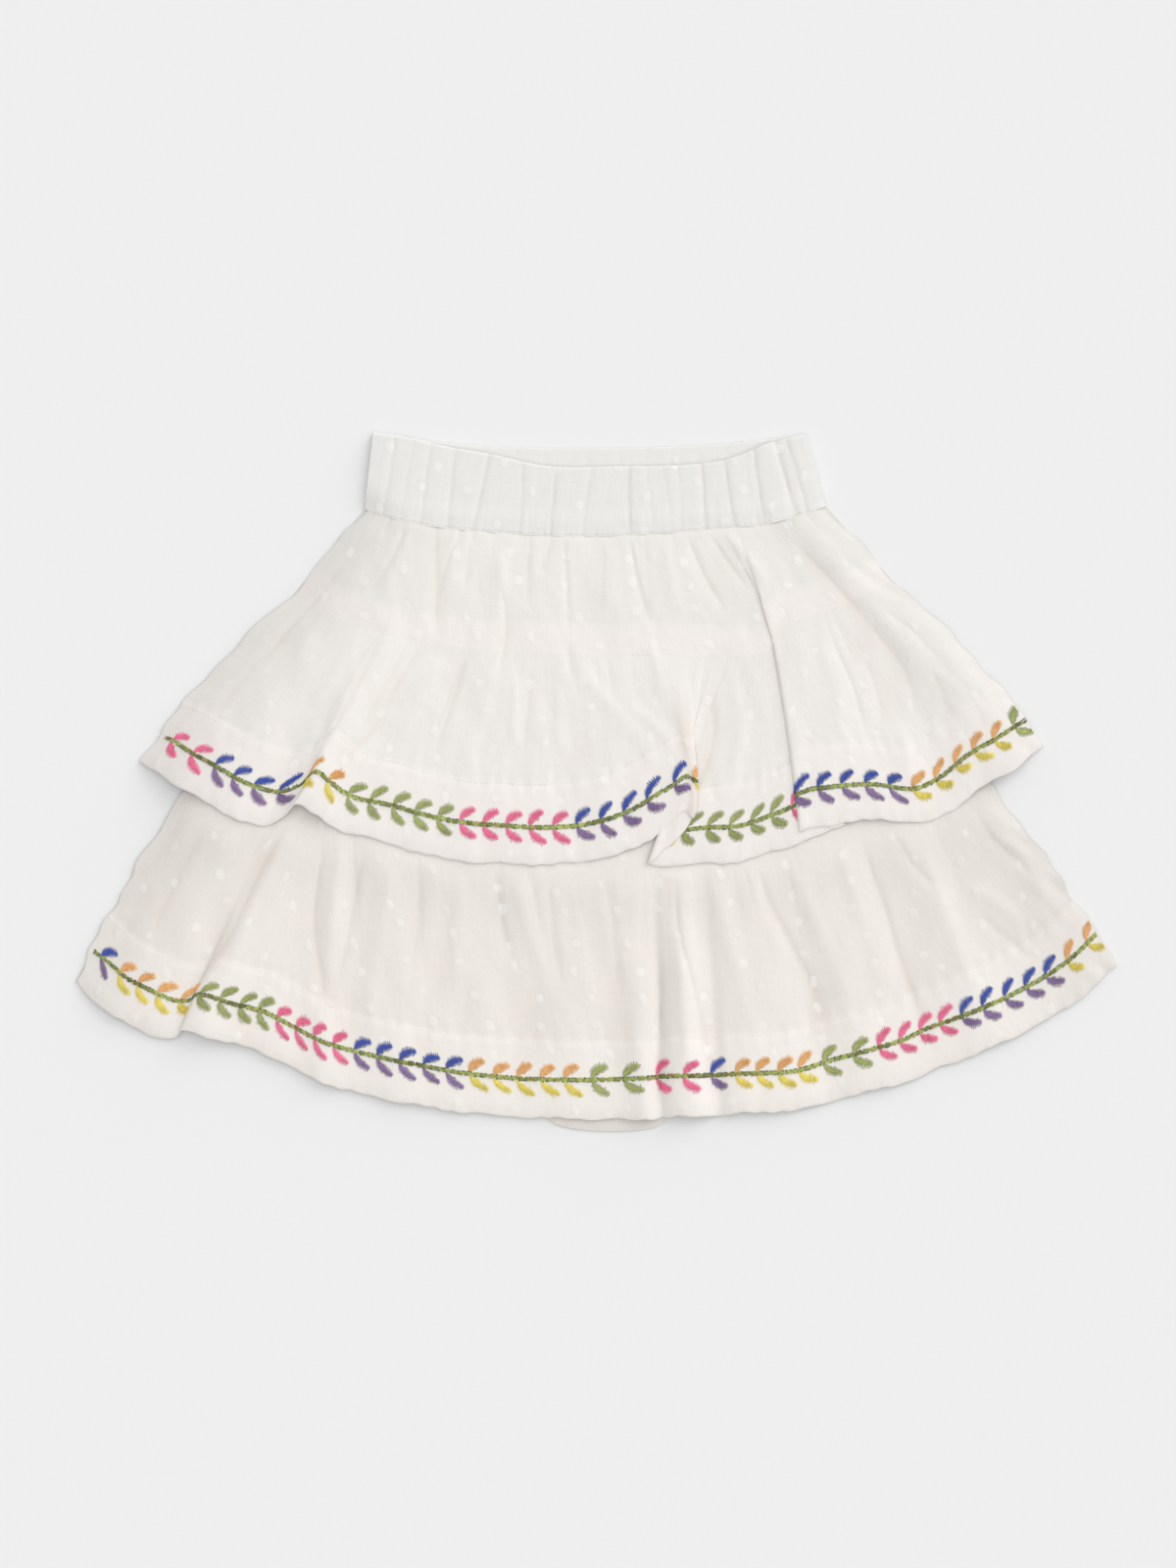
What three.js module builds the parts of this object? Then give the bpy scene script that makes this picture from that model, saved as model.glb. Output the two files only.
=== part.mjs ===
// A child's tiered cotton skort, laid flat on its back with its front side up.
// Units are millimetres. X runs across the skort, Y from the hem up to the waist, Z up from
// the surface it lies on. The origin is under the middle of the skort, on that surface.
import * as THREE from 'three';

// ---------------------------------------------------------------- driving dimensions
const CLOTH = 1.0; // wall of one ply of cloth
const BAND = 2.2; // wall of the waistband, which holds its elastic
const GAP = 0.3; // air between plies, and between pieces at a seam
const PLY = CLOTH + GAP; // one ply and the air over it
const SEAM = GAP / 2 + 0.02; // half the gap that parts two pieces where they are sewn
const SIDE_ROLL = 24; // how far in from its side edges a front piece still rolls down
const GATHER = 0.55; // height of a gather, up or down, at its seam
const GATHER_REACH = 22; // how far a gather runs into the cloth
const FOLD_ROWS = { from: 8, to: 13.5 }; // rows of YOKE_EDGE in the deep fold, where no gathers are
const SIDE_BOW = { upper: 5.5, lower: 2.5 }; // how far the sides of each tier belly out
const TURN_SHARE = 0.12; // how far either side of its row a turn is rounded, in rows
const RIB = 0.9; // height of a waistband rib over the creases beside it
const RIBS_PER_CREASE = 2; // ribs between two of the listed waistband creases

// Height of the middle of each ply over the surface, counted from the floor up.
const ply = (number) => number * PLY + CLOTH / 2;
const LEVEL = {
  bandFront: 4.0,
  yokeTop: 5.3,
  upperSeam: ply(5) + GATHER,
  upperHem: 8.5,
  carrier: ply(4),
  lowerSeam: ply(4) + GATHER,
  lowerHem: 2.3,
};
// Height of the middle of a front piece at its side edges, where it meets the back.
const EDGE = { band: 3.6, yoke: ply(1), upper: ply(1), carrier: ply(2), lowerSeam: 3.4, lowerHem: ply(1) };

// ---------------------------------------------------------------- lines across the skort
// Each table is one line across, from the left side to the right, a row for each bend in it.
const BAND_TOP_FRONT = [
  { x: -114.5, y: 178.0 },
  { x: -95, y: 175 },
  { x: -78, y: 171 },
  { x: -55, y: 167 },
  { x: -25, y: 160.8 },
  { x: 10, y: 160.8 },
  { x: 45, y: 161.5 },
  { x: 66, y: 164.5 },
  { x: 88, y: 173 },
  { x: 106, y: 177 },
];
const BAND_TOP_BACK = [
  { x: -114.5, y: 178.6 },
  { x: -78, y: 173 },
  { x: -35, y: 170.6 },
  { x: 20, y: 170.6 },
  { x: 66, y: 172.6 },
  { x: 106, y: 177.6 },
];
const WAIST = [
  { x: -119, y: 139 },
  { x: -105, y: 134 },
  { x: -85, y: 130 },
  { x: -55, y: 127 },
  { x: -24, y: 125 },
  { x: 10, y: 125.2 },
  { x: 40, y: 127 },
  { x: 65, y: 129.2 },
  { x: 85, y: 131 },
  { x: 104, y: 136 },
  { x: 116, y: 140.5 },
];
// Lower edge of the yoke. waist: where the same thread meets the waist line, as an x on it.
// lift: height over the level of the line. The deep fold runs through the last third.
const YOKE_EDGE = [
  { waist: -119, x: -155, y: 96.5, lift: 0 },
  { waist: -110, x: -133, y: 84, lift: 0 },
  { waist: -96, x: -105, y: 74, lift: 0.4 },
  { waist: -72, x: -70, y: 68.5, lift: 0 },
  { waist: -36, x: -35, y: 66, lift: 0.4 },
  { waist: -5, x: -5, y: 65, lift: 0 },
  { waist: 24, x: 35, y: 64.5, lift: 0.5 },
  { waist: 43, x: 65, y: 64.5, lift: 0 },
  { waist: 53, x: 82, y: 64.8, lift: 0 },
  { waist: 59, x: 90, y: 66.3, lift: 0.1 }, // passes under the fold
  { waist: 63, x: 96.5, y: 69.5, lift: 1.6, turn: 1.4 }, // turns back
  { waist: 67, x: 92, y: 72.2, lift: 3.2 },
  { waist: 71, x: 87.5, y: 75, lift: 4.8, turn: 1.4 }, // lip of the fold
  { waist: 76, x: 94, y: 78.7, lift: 6.4 },
  { waist: 88, x: 112, y: 85.5, lift: 3.4 },
  { waist: 101, x: 132, y: 93.5, lift: 0.6 },
  { waist: 116, x: 151, y: 102, lift: 0 },
];
// Hem of the upper tier. seam: the row of YOKE_EDGE, or the place between two rows, that
// the same thread runs down from.
const UPPER_HEM = [
  { seam: 0, x: -234, y: 10, lift: 0 },
  { seam: 0.15, x: -224, y: 4.5, lift: 0 },
  { seam: 0.5, x: -205, y: -7, lift: 0.5 },
  { seam: 0.9, x: -185, y: -18, lift: 1 },
  { seam: 1.2, x: -169, y: -22.5, lift: 0.2 },
  { seam: 1.55, x: -161, y: -18.5, lift: 4.5 }, // arch: its steep left flank
  { seam: 1.85, x: -154, y: -11, lift: 10 },
  { seam: 2.15, x: -144, y: -16.5, lift: 7.5 },
  { seam: 2.45, x: -132, y: -24, lift: 1.6 },
  { seam: 2.75, x: -110, y: -30, lift: 0.5 },
  { seam: 3.2, x: -80, y: -38.5, lift: 0 },
  { seam: 3.7, x: -45, y: -41.5, lift: 0.6 },
  { seam: 4.3, x: -13, y: -41, lift: 0.2 },
  { seam: 4.8, x: 6, y: -37.5, lift: 1.5 },
  { seam: 5.15, x: 21, y: -32.5, lift: 4.5 }, // curl: climbs to the right
  { seam: 5.55, x: 35, y: -22.5, lift: 8.5 },
  { seam: 5.9, x: 44, y: -16, lift: 11.5 },
  { seam: 6.2, x: 48.5, y: -18.5, lift: 9.8, turn: 1.5 }, // turns under
  { seam: 6.5, x: 42, y: -26.5, lift: 6.3 },
  { seam: 6.75, x: 32, y: -36, lift: 3.6 },
  { seam: 6.95, x: 25, y: -42, lift: 1.5, turn: 1.3 }, // turns back to the right
  { seam: 7.1, x: 33, y: -42.7, lift: 0.1 },
  { seam: 7.4, x: 50, y: -41.5, lift: 0 },
  { seam: 7.8, x: 70, y: -40.5, lift: 0.3 },
  { seam: 8.2, x: 90, y: -35, lift: 0 },
  { seam: 8.7, x: 108, y: -28.5, lift: 0 }, // deep fold: passes under
  { seam: 9.3, x: 119, y: -24.5, lift: 0.1 },
  { seam: 10, x: 125, y: -22, lift: 1.6, turn: 1.4 }, // turns back
  { seam: 11, x: 113, y: -23, lift: 3.6 },
  { seam: 12, x: 102, y: -26, lift: 5.6, turn: 1.5 }, // lip of the fold
  { seam: 12.9, x: 109, y: -23.2, lift: 7.8 },
  { seam: 13.3, x: 122, y: -21, lift: 7.2 },
  { seam: 14, x: 145, y: -19, lift: 3 },
  { seam: 14.5, x: 166, y: -20.5, lift: 1 },
  { seam: 15, x: 179, y: -14.5, lift: 0 },
  { seam: 15.4, x: 195, y: -2.5, lift: 1.2 },
  { seam: 15.75, x: 210, y: 6, lift: 1 },
  { seam: 16, x: 228, y: 17.5, lift: 0 },
];
// Seam of the lower tier on its carrier, hidden under the upper tier.
const LOWER_SEAM = [
  { x: -209, y: -1 },
  { x: -190, y: -3 },
  { x: -160, y: -5 },
  { x: -130, y: -9 },
  { x: -95, y: -18 },
  { x: -50, y: -25 },
  { x: 0, y: -26 },
  { x: 50, y: -26 },
  { x: 90, y: -20 },
  { x: 130, y: -9 },
  { x: 165, y: -5 },
  { x: 195, y: 4 },
];
// Hem of the lower tier; seam is a row of LOWER_SEAM.
const LOWER_HEM = [
  { seam: 0, x: -267, y: -102, lift: 0 },
  { seam: 0.15, x: -260, y: -108.5, lift: 0.3 },
  { seam: 0.55, x: -249, y: -118, lift: 1.4 },
  { seam: 1.1, x: -235, y: -125.5, lift: 0.8 },
  { seam: 1.6, x: -223, y: -130.5, lift: 0 },
  { seam: 2.0, x: -215, y: -130, lift: 0.6 },
  { seam: 2.2, x: -212.5, y: -127, lift: 3.2 }, // lip of the left fold
  { seam: 2.35, x: -205, y: -127.5, lift: 5 },
  { seam: 2.5, x: -193, y: -131.5, lift: 3.2 },
  { seam: 2.62, x: -174, y: -136.5, lift: 1.4 },
  { seam: 2.75, x: -157, y: -145, lift: 0.3 },
  { seam: 2.95, x: -140, y: -153, lift: 2 },
  { seam: 3.2, x: -124, y: -158, lift: 0.2 },
  { seam: 3.7, x: -98, y: -163.5, lift: 1.4 },
  { seam: 4.3, x: -70, y: -168, lift: 0.4 },
  { seam: 4.9, x: -38, y: -170.7, lift: 0 },
  { seam: 5.35, x: -10, y: -171.5, lift: 1 },
  { seam: 5.9, x: 12, y: -172, lift: 1 },
  { seam: 6.3, x: 24.5, y: -171.5, lift: 3.2 },
  { seam: 6.47, x: 29, y: -171.2, lift: 1.6 }, // groove
  { seam: 6.55, x: 32, y: -171, lift: 0 },
  { seam: 6.63, x: 35, y: -170.8, lift: 2 },
  { seam: 6.75, x: 41, y: -170.3, lift: 4.4 },
  { seam: 6.85, x: 52, y: -170, lift: 3.8 },
  { seam: 6.95, x: 58, y: -169.9, lift: 1.2 },
  { seam: 7.05, x: 62, y: -169.7, lift: 0.2 },
  { seam: 7.15, x: 69, y: -169, lift: 1.8 },
  { seam: 7.35, x: 87, y: -167.8, lift: 2 },
  { seam: 7.6, x: 105, y: -166.5, lift: 1 },
  { seam: 7.85, x: 120, y: -162, lift: 0 },
  { seam: 8.4, x: 140, y: -157, lift: 1.5 },
  { seam: 8.8, x: 160, y: -151.5, lift: 0.8 },
  { seam: 9.05, x: 175, y: -145, lift: 0 },
  { seam: 9.5, x: 197, y: -136.5, lift: 1.8 },
  { seam: 10, x: 217, y: -127, lift: 1.2 },
  { seam: 10.5, x: 235, y: -117, lift: 0.4 },
  { seam: 10.8, x: 251, y: -106, lift: 0.8 },
  { seam: 11, x: 265, y: -93.5, lift: 0 },
];
// Lines of the back, which lies flat.
const YOKE_EDGE_BACK = [
  { x: -154.5, y: 96.5 },
  { x: -105, y: 74 },
  { x: -40, y: 66 },
  { x: 35, y: 66 },
  { x: 100, y: 77 },
  { x: 150.5, y: 102 },
];
const UPPER_HEM_BACK = [
  { x: -233.5, y: 10.5 },
  { x: -190, y: -12 },
  { x: -120, y: -29 },
  { x: -40, y: -38 },
  { x: 40, y: -38 },
  { x: 110, y: -28 },
  { x: 180, y: -8 },
  { x: 227.5, y: 18 },
];
const LOWER_HEM_BACK = [
  { x: -266.5, y: -101.5 },
  { x: -248, y: -116 },
  { x: -222, y: -125 },
  { x: -190, y: -128 },
  { x: -157, y: -142 },
  { x: -120, y: -155 },
  { x: -75, y: -165 },
  { x: -32, y: -168.5 },
  { x: -20, y: -175 }, // sags below the front hem here
  { x: 6, y: -178 },
  { x: 30, y: -175.5 },
  { x: 42, y: -167 },
  { x: 90, y: -165 },
  { x: 130, y: -157 },
  { x: 175, y: -142 },
  { x: 235, y: -114 },
  { x: 264.5, y: -93 },
];
// The carrier of the lower tier hangs from the yoke's edge, inside the upper tier.
const CARRIER_TOP = [
  { x: -143, y: 86 },
  { x: -105, y: 71 },
  { x: -40, y: 63.5 },
  { x: 35, y: 62 },
  { x: 88, y: 62.5 },
  { x: 138, y: 92 },
];
const CARRIER_LOW = [
  { x: -203, y: -0.5 },
  { x: -160, y: -4.2 },
  { x: -130, y: -8.2 },
  { x: -95, y: -17.2 },
  { x: -50, y: -24.2 },
  { x: 0, y: -25.2 },
  { x: 50, y: -25.2 },
  { x: 90, y: -19.2 },
  { x: 130, y: -8.2 },
  { x: 165, y: -4.2 },
  { x: 190, y: 3 },
];
// Creases of the waistband front: where each meets the top edge and the waist line.
const BAND_CREASES = [
  { top: -114.5, low: -119 },
  { top: -102, low: -108 },
  { top: -87, low: -90 },
  { top: -72, low: -77 },
  { top: -58, low: -64 },
  { top: -39, low: -39.5 },
  { top: -24, low: -23 },
  { top: -4, low: -4 },
  { top: 15, low: 15.5 },
  { top: 32, low: 40 },
  { top: 51, low: 55 },
  { top: 63, low: 70 },
  { top: 77, low: 83 },
  { top: 90, low: 100 },
  { top: 106, low: 116 },
];
// Inner shorts, hidden between the front and back: half widths and heights of their outline.
const SHORTS = { waist: 100, hip: 108, leg: 110, inseam: 9, topY: 106, hipY: 60, crotchY: 2, hemY: -30 };

// ---------------------------------------------------------------- working out points
/** A smooth curve through the rows of a table, read by row number. */
function through(rows) {
  const points = rows.map((row) => new THREE.Vector3(row.x, row.y, row.lift ?? 0));
  const curve = new THREE.CatmullRomCurve3(points, false, 'centripetal');
  return (row) => curve.getPoint(THREE.MathUtils.clamp(row / (rows.length - 1), 0, 1));
}

/**
 * The rows of a table with a half circle of three rows in place of each row that has a turn,
 * the radius at which the cloth folds back over or under itself.
 */
function rounded(rows) {
  return rows.flatMap((row, i) => {
    if (!row.turn) return [{ ...row, at: i }];
    const before = rows[i - 1];
    const after = rows[i + 1];
    const inward = new THREE.Vector2(row.x - before.x, row.y - before.y).normalize();
    const outward = new THREE.Vector2(after.x - row.x, after.y - row.y).normalize();
    const tip = inward.sub(outward).normalize();
    const rise = row.turn * Math.sign(after.lift - before.lift);
    const beside = (side) => ({
      ...row,
      at: i + side * TURN_SHARE,
      seam: row.seam + side * TURN_SHARE,
      waist: row.waist + side * row.turn,
      x: row.x - row.turn * tip.x,
      y: row.y - row.turn * tip.y,
      lift: row.lift + side * rise,
    });
    return [beside(-1), { ...row, at: i }, beside(1)];
  });
}

/** One column of a table at a place between its rows. */
function between(rows, column, place) {
  const last = rows.length - 1;
  const low = Math.min(Math.floor(place), last - 1);
  return THREE.MathUtils.lerp(rows[low][column], rows[low + 1][column], place - low);
}

/** The place, counted in rows, at which a column that only grows reaches a value. */
function placeAt(rows, column, value) {
  const last = rows.length - 1;
  let low = 0;
  while (low < last - 1 && rows[low + 1][column] < value) low += 1;
  return low + (value - rows[low][column]) / (rows[low + 1][column] - rows[low][column]);
}

/** 0 at the side edges of a line, rising to 1 once the cloth has rolled over. */
function roll(x, line) {
  const inward = Math.min(x - line[0].x, line[line.length - 1].x - x);
  return Math.sin((Math.PI / 2) * THREE.MathUtils.clamp(inward / SIDE_ROLL, 0, 1));
}

const height = (x, line, edge, level) => THREE.MathUtils.lerp(edge, level, roll(x, line));
const settle = (v) => 1 - (1 - v) ** 2; // cloth leaves its seam's height early

/** Places along a table, about a step apart, with at least one at each row. */
function places(rows, step) {
  const list = [0];
  for (let row = 1; row < rows.length; row += 1) {
    const run = Math.hypot(
      rows[row].x - rows[row - 1].x,
      rows[row].y - rows[row - 1].y,
      rows[row].lift - rows[row - 1].lift,
    );
    const count = Math.max(1, Math.round(run / step));
    for (let part = 1; part <= count; part += 1) list.push(row - 1 + part / count);
  }
  return list;
}

/** Rows of points from a seam (v = 0) to a hem (v = 1), pulled in by half a seam gap. */
function sheet(columns, rowCount, startGap, endGap, point) {
  const grid = [];
  for (let j = 0; j <= rowCount; j += 1) {
    grid.push(
      columns.map((place, i) => {
        const length = point(place, 0, i).distanceTo(point(place, 1, i));
        const v = THREE.MathUtils.lerp(startGap / length, 1 - endGap / length, j / rowCount);
        return point(place, v, i, length);
      }),
    );
  }
  return grid;
}

/** A closed wall over a grid of middle points; relief adds height to its upper face. */
function wall(grid, thickness, relief = () => 0) {
  const rows = grid.length;
  const columns = grid[0].length;
  const upper = [];
  const lower = [];
  for (let j = 0; j < rows; j += 1) {
    for (let i = 0; i < columns; i += 1) {
      const across = new THREE.Vector3().subVectors(
        grid[j][Math.min(i + 1, columns - 1)],
        grid[j][Math.max(i - 1, 0)],
      );
      const along = new THREE.Vector3().subVectors(
        grid[Math.max(j - 1, 0)][i],
        grid[Math.min(j + 1, rows - 1)][i],
      );
      const normal = across.cross(along).normalize();
      upper.push(grid[j][i].clone().addScaledVector(normal, thickness / 2 + relief(i, j)));
      lower.push(grid[j][i].clone().addScaledVector(normal, -thickness / 2));
    }
  }
  const count = rows * columns;
  const top = (j, i) => j * columns + i;
  const under = (j, i) => count + j * columns + i;
  const index = [];
  const quad = (a, b, c, d) => index.push(a, b, c, a, c, d);
  for (let j = 0; j < rows - 1; j += 1) {
    for (let i = 0; i < columns - 1; i += 1) {
      quad(top(j, i), top(j + 1, i), top(j + 1, i + 1), top(j, i + 1));
      quad(under(j, i), under(j, i + 1), under(j + 1, i + 1), under(j + 1, i));
    }
  }
  for (let i = 0; i < columns - 1; i += 1) {
    quad(top(0, i), top(0, i + 1), under(0, i + 1), under(0, i));
    quad(top(rows - 1, i + 1), top(rows - 1, i), under(rows - 1, i), under(rows - 1, i + 1));
  }
  for (let j = 0; j < rows - 1; j += 1) {
    quad(top(j + 1, 0), top(j, 0), under(j, 0), under(j + 1, 0));
    quad(top(j, columns - 1), top(j + 1, columns - 1), under(j + 1, columns - 1), under(j, columns - 1));
  }
  const geometry = new THREE.BufferGeometry();
  const position = new Float32Array([...upper, ...lower].flatMap((p) => p.toArray()));
  geometry.setAttribute('position', new THREE.BufferAttribute(position, 3));
  geometry.setIndex(index);
  geometry.computeVertexNormals();
  return geometry;
}

/** How far a thread of a tier bows to its side, most at the side edges and at half length. */
function bow(amount, place, rows, v) {
  const side = THREE.MathUtils.lerp(-1, 1, place / (rows.length - 1));
  return amount * side ** 3 * 4 * v * (1 - v);
}

/** Gathers: neighbouring columns go up and down at the seam and fade into the cloth. */
function gather(i, last, distance, row = 0) {
  const folded = row > FOLD_ROWS.from && row < FOLD_ROWS.to;
  if (i === 0 || i === last || folded) return 0;
  const uneven = 0.7 + 0.3 * Math.sin(i * 1.9);
  return (i % 2 ? 1 : -1) * GATHER * uneven * Math.exp(-distance / GATHER_REACH);
}

// ---------------------------------------------------------------- pieces
const cotton = new THREE.MeshStandardMaterial({ color: 0xf3efe8, roughness: 0.92, metalness: 0 });
const cottonInside = new THREE.MeshStandardMaterial({ color: 0xe9e4dc, roughness: 0.95, metalness: 0 });
const skort = new THREE.Group();

function add(name, geometry, material) {
  const mesh = new THREE.Mesh(geometry, material.clone());
  mesh.name = name;
  skort.add(mesh);
}

const yokeEdge = rounded(YOKE_EDGE);
const upperHem = rounded(UPPER_HEM);
const lineWaist = through(WAIST);
const lineYoke = through(yokeEdge);
const lineUpperHem = through(upperHem);
const lineLowerSeam = through(LOWER_SEAM);
const lineLowerHem = through(LOWER_HEM);

const waistPoint = (x) => lineWaist(placeAt(WAIST, 'x', x));
const upperPlaces = places(upperHem, 7.5);
const lowerPlaces = places(LOWER_HEM, 8);

/** Lower edge of the yoke and top of the upper tier, at a row of YOKE_EDGE. */
function yokeEdgePoint(row) {
  const p = lineYoke(placeAt(yokeEdge, 'at', row));
  p.z += height(p.x, YOKE_EDGE, EDGE.yoke, LEVEL.upperSeam);
  return p;
}

function yokeFront() {
  const columns = upperPlaces.map((place) => between(upperHem, 'seam', place));
  const last = columns.length - 1;
  const point = (row, v, i, length = 1) => {
    const top = waistPoint(between(yokeEdge, 'waist', placeAt(yokeEdge, 'at', row)));
    top.z = height(top.x, WAIST, EDGE.yoke, LEVEL.yokeTop);
    const low = yokeEdgePoint(row);
    const p = new THREE.Vector3().lerpVectors(top, low, v);
    p.z = THREE.MathUtils.lerp(top.z, low.z, settle(v)) + gather(i, last, v * length, row);
    return p;
  };
  return wall(sheet(columns, 5, SEAM, SEAM, point), CLOTH);
}

function upperTierFront() {
  const last = upperPlaces.length - 1;
  const point = (place, v, i, length = 1) => {
    const seam = between(upperHem, 'seam', place);
    const top = yokeEdgePoint(seam);
    const low = lineUpperHem(place);
    low.z += height(low.x, UPPER_HEM, EDGE.upper, LEVEL.upperHem);
    const p = new THREE.Vector3().lerpVectors(top, low, v);
    p.x += bow(SIDE_BOW.upper, place, upperHem, v);
    p.z = THREE.MathUtils.lerp(top.z, low.z, settle(v)) + gather(i, last, v * length, seam);
    return p;
  };
  return wall(sheet(upperPlaces, 9, SEAM, 0, point), CLOTH);
}

function lowerTierFront() {
  const last = lowerPlaces.length - 1;
  const point = (place, v, i, length = 1) => {
    const top = lineLowerSeam(between(LOWER_HEM, 'seam', place));
    top.z = height(top.x, LOWER_SEAM, EDGE.lowerSeam, LEVEL.lowerSeam);
    const low = lineLowerHem(place);
    low.z += height(low.x, LOWER_HEM, EDGE.lowerHem, LEVEL.lowerHem);
    const p = new THREE.Vector3().lerpVectors(top, low, v);
    p.x += bow(SIDE_BOW.lower, place, LOWER_HEM, v);
    p.z = THREE.MathUtils.lerp(top.z, low.z, settle(v)) + gather(i, last, v * length);
    return p;
  };
  return wall(sheet(lowerPlaces, 9, SEAM, 0, point), CLOTH);
}

/** A piece between two lines whose points match by their share of the way across. */
function panel(topRows, lowRows, options) {
  const { columns, rows, thickness, startGap = 0, endGap = 0, z, relief } = options;
  const top = through(topRows);
  const low = through(lowRows);
  const shares = Array.from({ length: columns + 1 }, (_, i) => i / columns);
  const point = (share, v, i, length = 1) => {
    const a = top(share * (topRows.length - 1));
    const b = low(share * (lowRows.length - 1));
    const p = new THREE.Vector3().lerpVectors(a, b, v);
    p.z = z(p, share, v * length);
    return p;
  };
  return wall(sheet(shares, rows, startGap, endGap, point), thickness, relief);
}

function bandFront() {
  const perCrease = RIBS_PER_CREASE * 4;
  const steps = (BAND_CREASES.length - 1) * perCrease;
  const columns = Array.from({ length: steps + 1 }, (_, i) => i / perCrease);
  const top = through(BAND_TOP_FRONT);
  const point = (place, v) => {
    const a = top(placeAt(BAND_TOP_FRONT, 'x', between(BAND_CREASES, 'top', place)));
    const b = waistPoint(between(BAND_CREASES, 'low', place));
    const p = new THREE.Vector3().lerpVectors(a, b, v);
    p.z = height(p.x, WAIST, EDGE.band, LEVEL.bandFront);
    return p;
  };
  const rib = (i) => RIB * Math.abs(Math.sin((Math.PI * i) / 4));
  return wall(sheet(columns, 3, 0, SEAM, point), BAND - RIB / 2, rib);
}

/** The outline of the inner shorts, cut from one ply and laid flat. */
function shortsPanel() {
  const { waist, hip, leg, inseam, topY, hipY, crotchY, hemY } = SHORTS;
  const outline = new THREE.Shape([
    new THREE.Vector2(-waist, topY),
    new THREE.Vector2(-hip, hipY),
    new THREE.Vector2(-leg, hemY),
    new THREE.Vector2(-inseam, hemY),
    new THREE.Vector2(0, crotchY),
    new THREE.Vector2(inseam, hemY),
    new THREE.Vector2(leg, hemY),
    new THREE.Vector2(hip, hipY),
    new THREE.Vector2(waist, topY),
  ]);
  return new THREE.ExtrudeGeometry(outline, { depth: CLOTH, bevelEnabled: false });
}

const flat = (level) => () => level;
/** The lower tier's back lies on the upper tier's back, then steps down to the surface. */
function lowerBackHeight(p, share, distance) {
  return THREE.MathUtils.lerp(ply(1), ply(0), THREE.MathUtils.smoothstep(distance, 18, 30));
}

add('waistband_front', bandFront(), cotton);
add(
  'waistband_back',
  panel(BAND_TOP_BACK, WAIST, {
    columns: 72, rows: 2, thickness: BAND - 0.5, endGap: SEAM, z: flat((BAND - 0.5) / 2),
    relief: (i) => (i % 2 ? 0.45 : 0),
  }),
  cottonInside,
);
add('yoke_front', yokeFront(), cotton);
add(
  'yoke_back',
  panel(WAIST, YOKE_EDGE_BACK, {
    columns: 30, rows: 2, thickness: CLOTH, startGap: SEAM, endGap: SEAM, z: flat(ply(0)),
  }),
  cottonInside,
);
add('upper_tier_front', upperTierFront(), cotton);
add(
  'upper_tier_back',
  panel(YOKE_EDGE_BACK, UPPER_HEM_BACK, {
    columns: 36, rows: 3, thickness: CLOTH, startGap: SEAM, z: flat(ply(0)),
  }),
  cottonInside,
);
add(
  'carrier_front',
  panel(CARRIER_TOP, CARRIER_LOW, {
    columns: 24, rows: 3, thickness: CLOTH, endGap: SEAM,
    z: (p, share) => THREE.MathUtils.lerp(EDGE.carrier, LEVEL.carrier, Math.min(1, 8 * share * (1 - share))),
  }),
  cottonInside,
);
add(
  'carrier_back',
  panel(CARRIER_TOP, CARRIER_LOW, {
    columns: 24, rows: 2, thickness: CLOTH, endGap: SEAM, z: flat(ply(1)),
  }),
  cottonInside,
);
add('lower_tier_front', lowerTierFront(), cotton);
add(
  'lower_tier_back',
  panel(LOWER_SEAM, LOWER_HEM_BACK, {
    columns: 40, rows: 7, thickness: CLOTH, startGap: SEAM, z: lowerBackHeight,
  }),
  cottonInside,
);
add('shorts_back', shortsPanel().translate(0, 0, 2 * PLY), cottonInside);
add('shorts_front', shortsPanel().translate(0, 0, 3 * PLY), cottonInside);

export default skort;
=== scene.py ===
"""A child's tiered cotton skort, laid flat on its back with its front side up.

Each operator makes one piece of the skort, or one group of like pieces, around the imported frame.
Tables and the working of shapes are in millimetres, in the frame's axes: X across the skort, Y
from the hem up to the waist, Z up from the surface that it lies on. Meshes are made in metres.
"""

import math
from types import SimpleNamespace

import bpy
import numpy as np
from bpy.props import FloatProperty, FloatVectorProperty, PointerProperty
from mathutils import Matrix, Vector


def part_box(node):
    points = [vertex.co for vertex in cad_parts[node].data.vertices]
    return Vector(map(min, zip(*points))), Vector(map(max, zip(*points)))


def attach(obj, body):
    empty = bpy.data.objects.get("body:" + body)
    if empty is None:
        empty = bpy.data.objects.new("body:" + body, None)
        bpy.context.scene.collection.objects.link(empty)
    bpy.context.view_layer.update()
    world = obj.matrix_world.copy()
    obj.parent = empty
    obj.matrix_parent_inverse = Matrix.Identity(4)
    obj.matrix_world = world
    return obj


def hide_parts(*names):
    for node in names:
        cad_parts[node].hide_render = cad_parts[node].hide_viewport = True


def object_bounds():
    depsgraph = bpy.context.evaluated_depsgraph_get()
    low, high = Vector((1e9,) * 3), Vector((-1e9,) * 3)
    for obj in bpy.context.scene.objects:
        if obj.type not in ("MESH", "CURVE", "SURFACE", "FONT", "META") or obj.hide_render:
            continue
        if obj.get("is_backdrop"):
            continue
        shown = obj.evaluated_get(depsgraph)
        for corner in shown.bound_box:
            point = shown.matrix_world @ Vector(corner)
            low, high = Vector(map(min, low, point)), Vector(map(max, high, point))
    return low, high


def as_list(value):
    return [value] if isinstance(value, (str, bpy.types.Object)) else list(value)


bl_info = {
    "name": "Tiered cotton skort",
    "version": (1, 0, 0),
    "blender": (4, 5, 0),
    "location": "3D View > Sidebar > Skort",
    "description": "Makes a child's embroidered cotton skort around its packed frame",
    "category": "Object",
}

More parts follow.
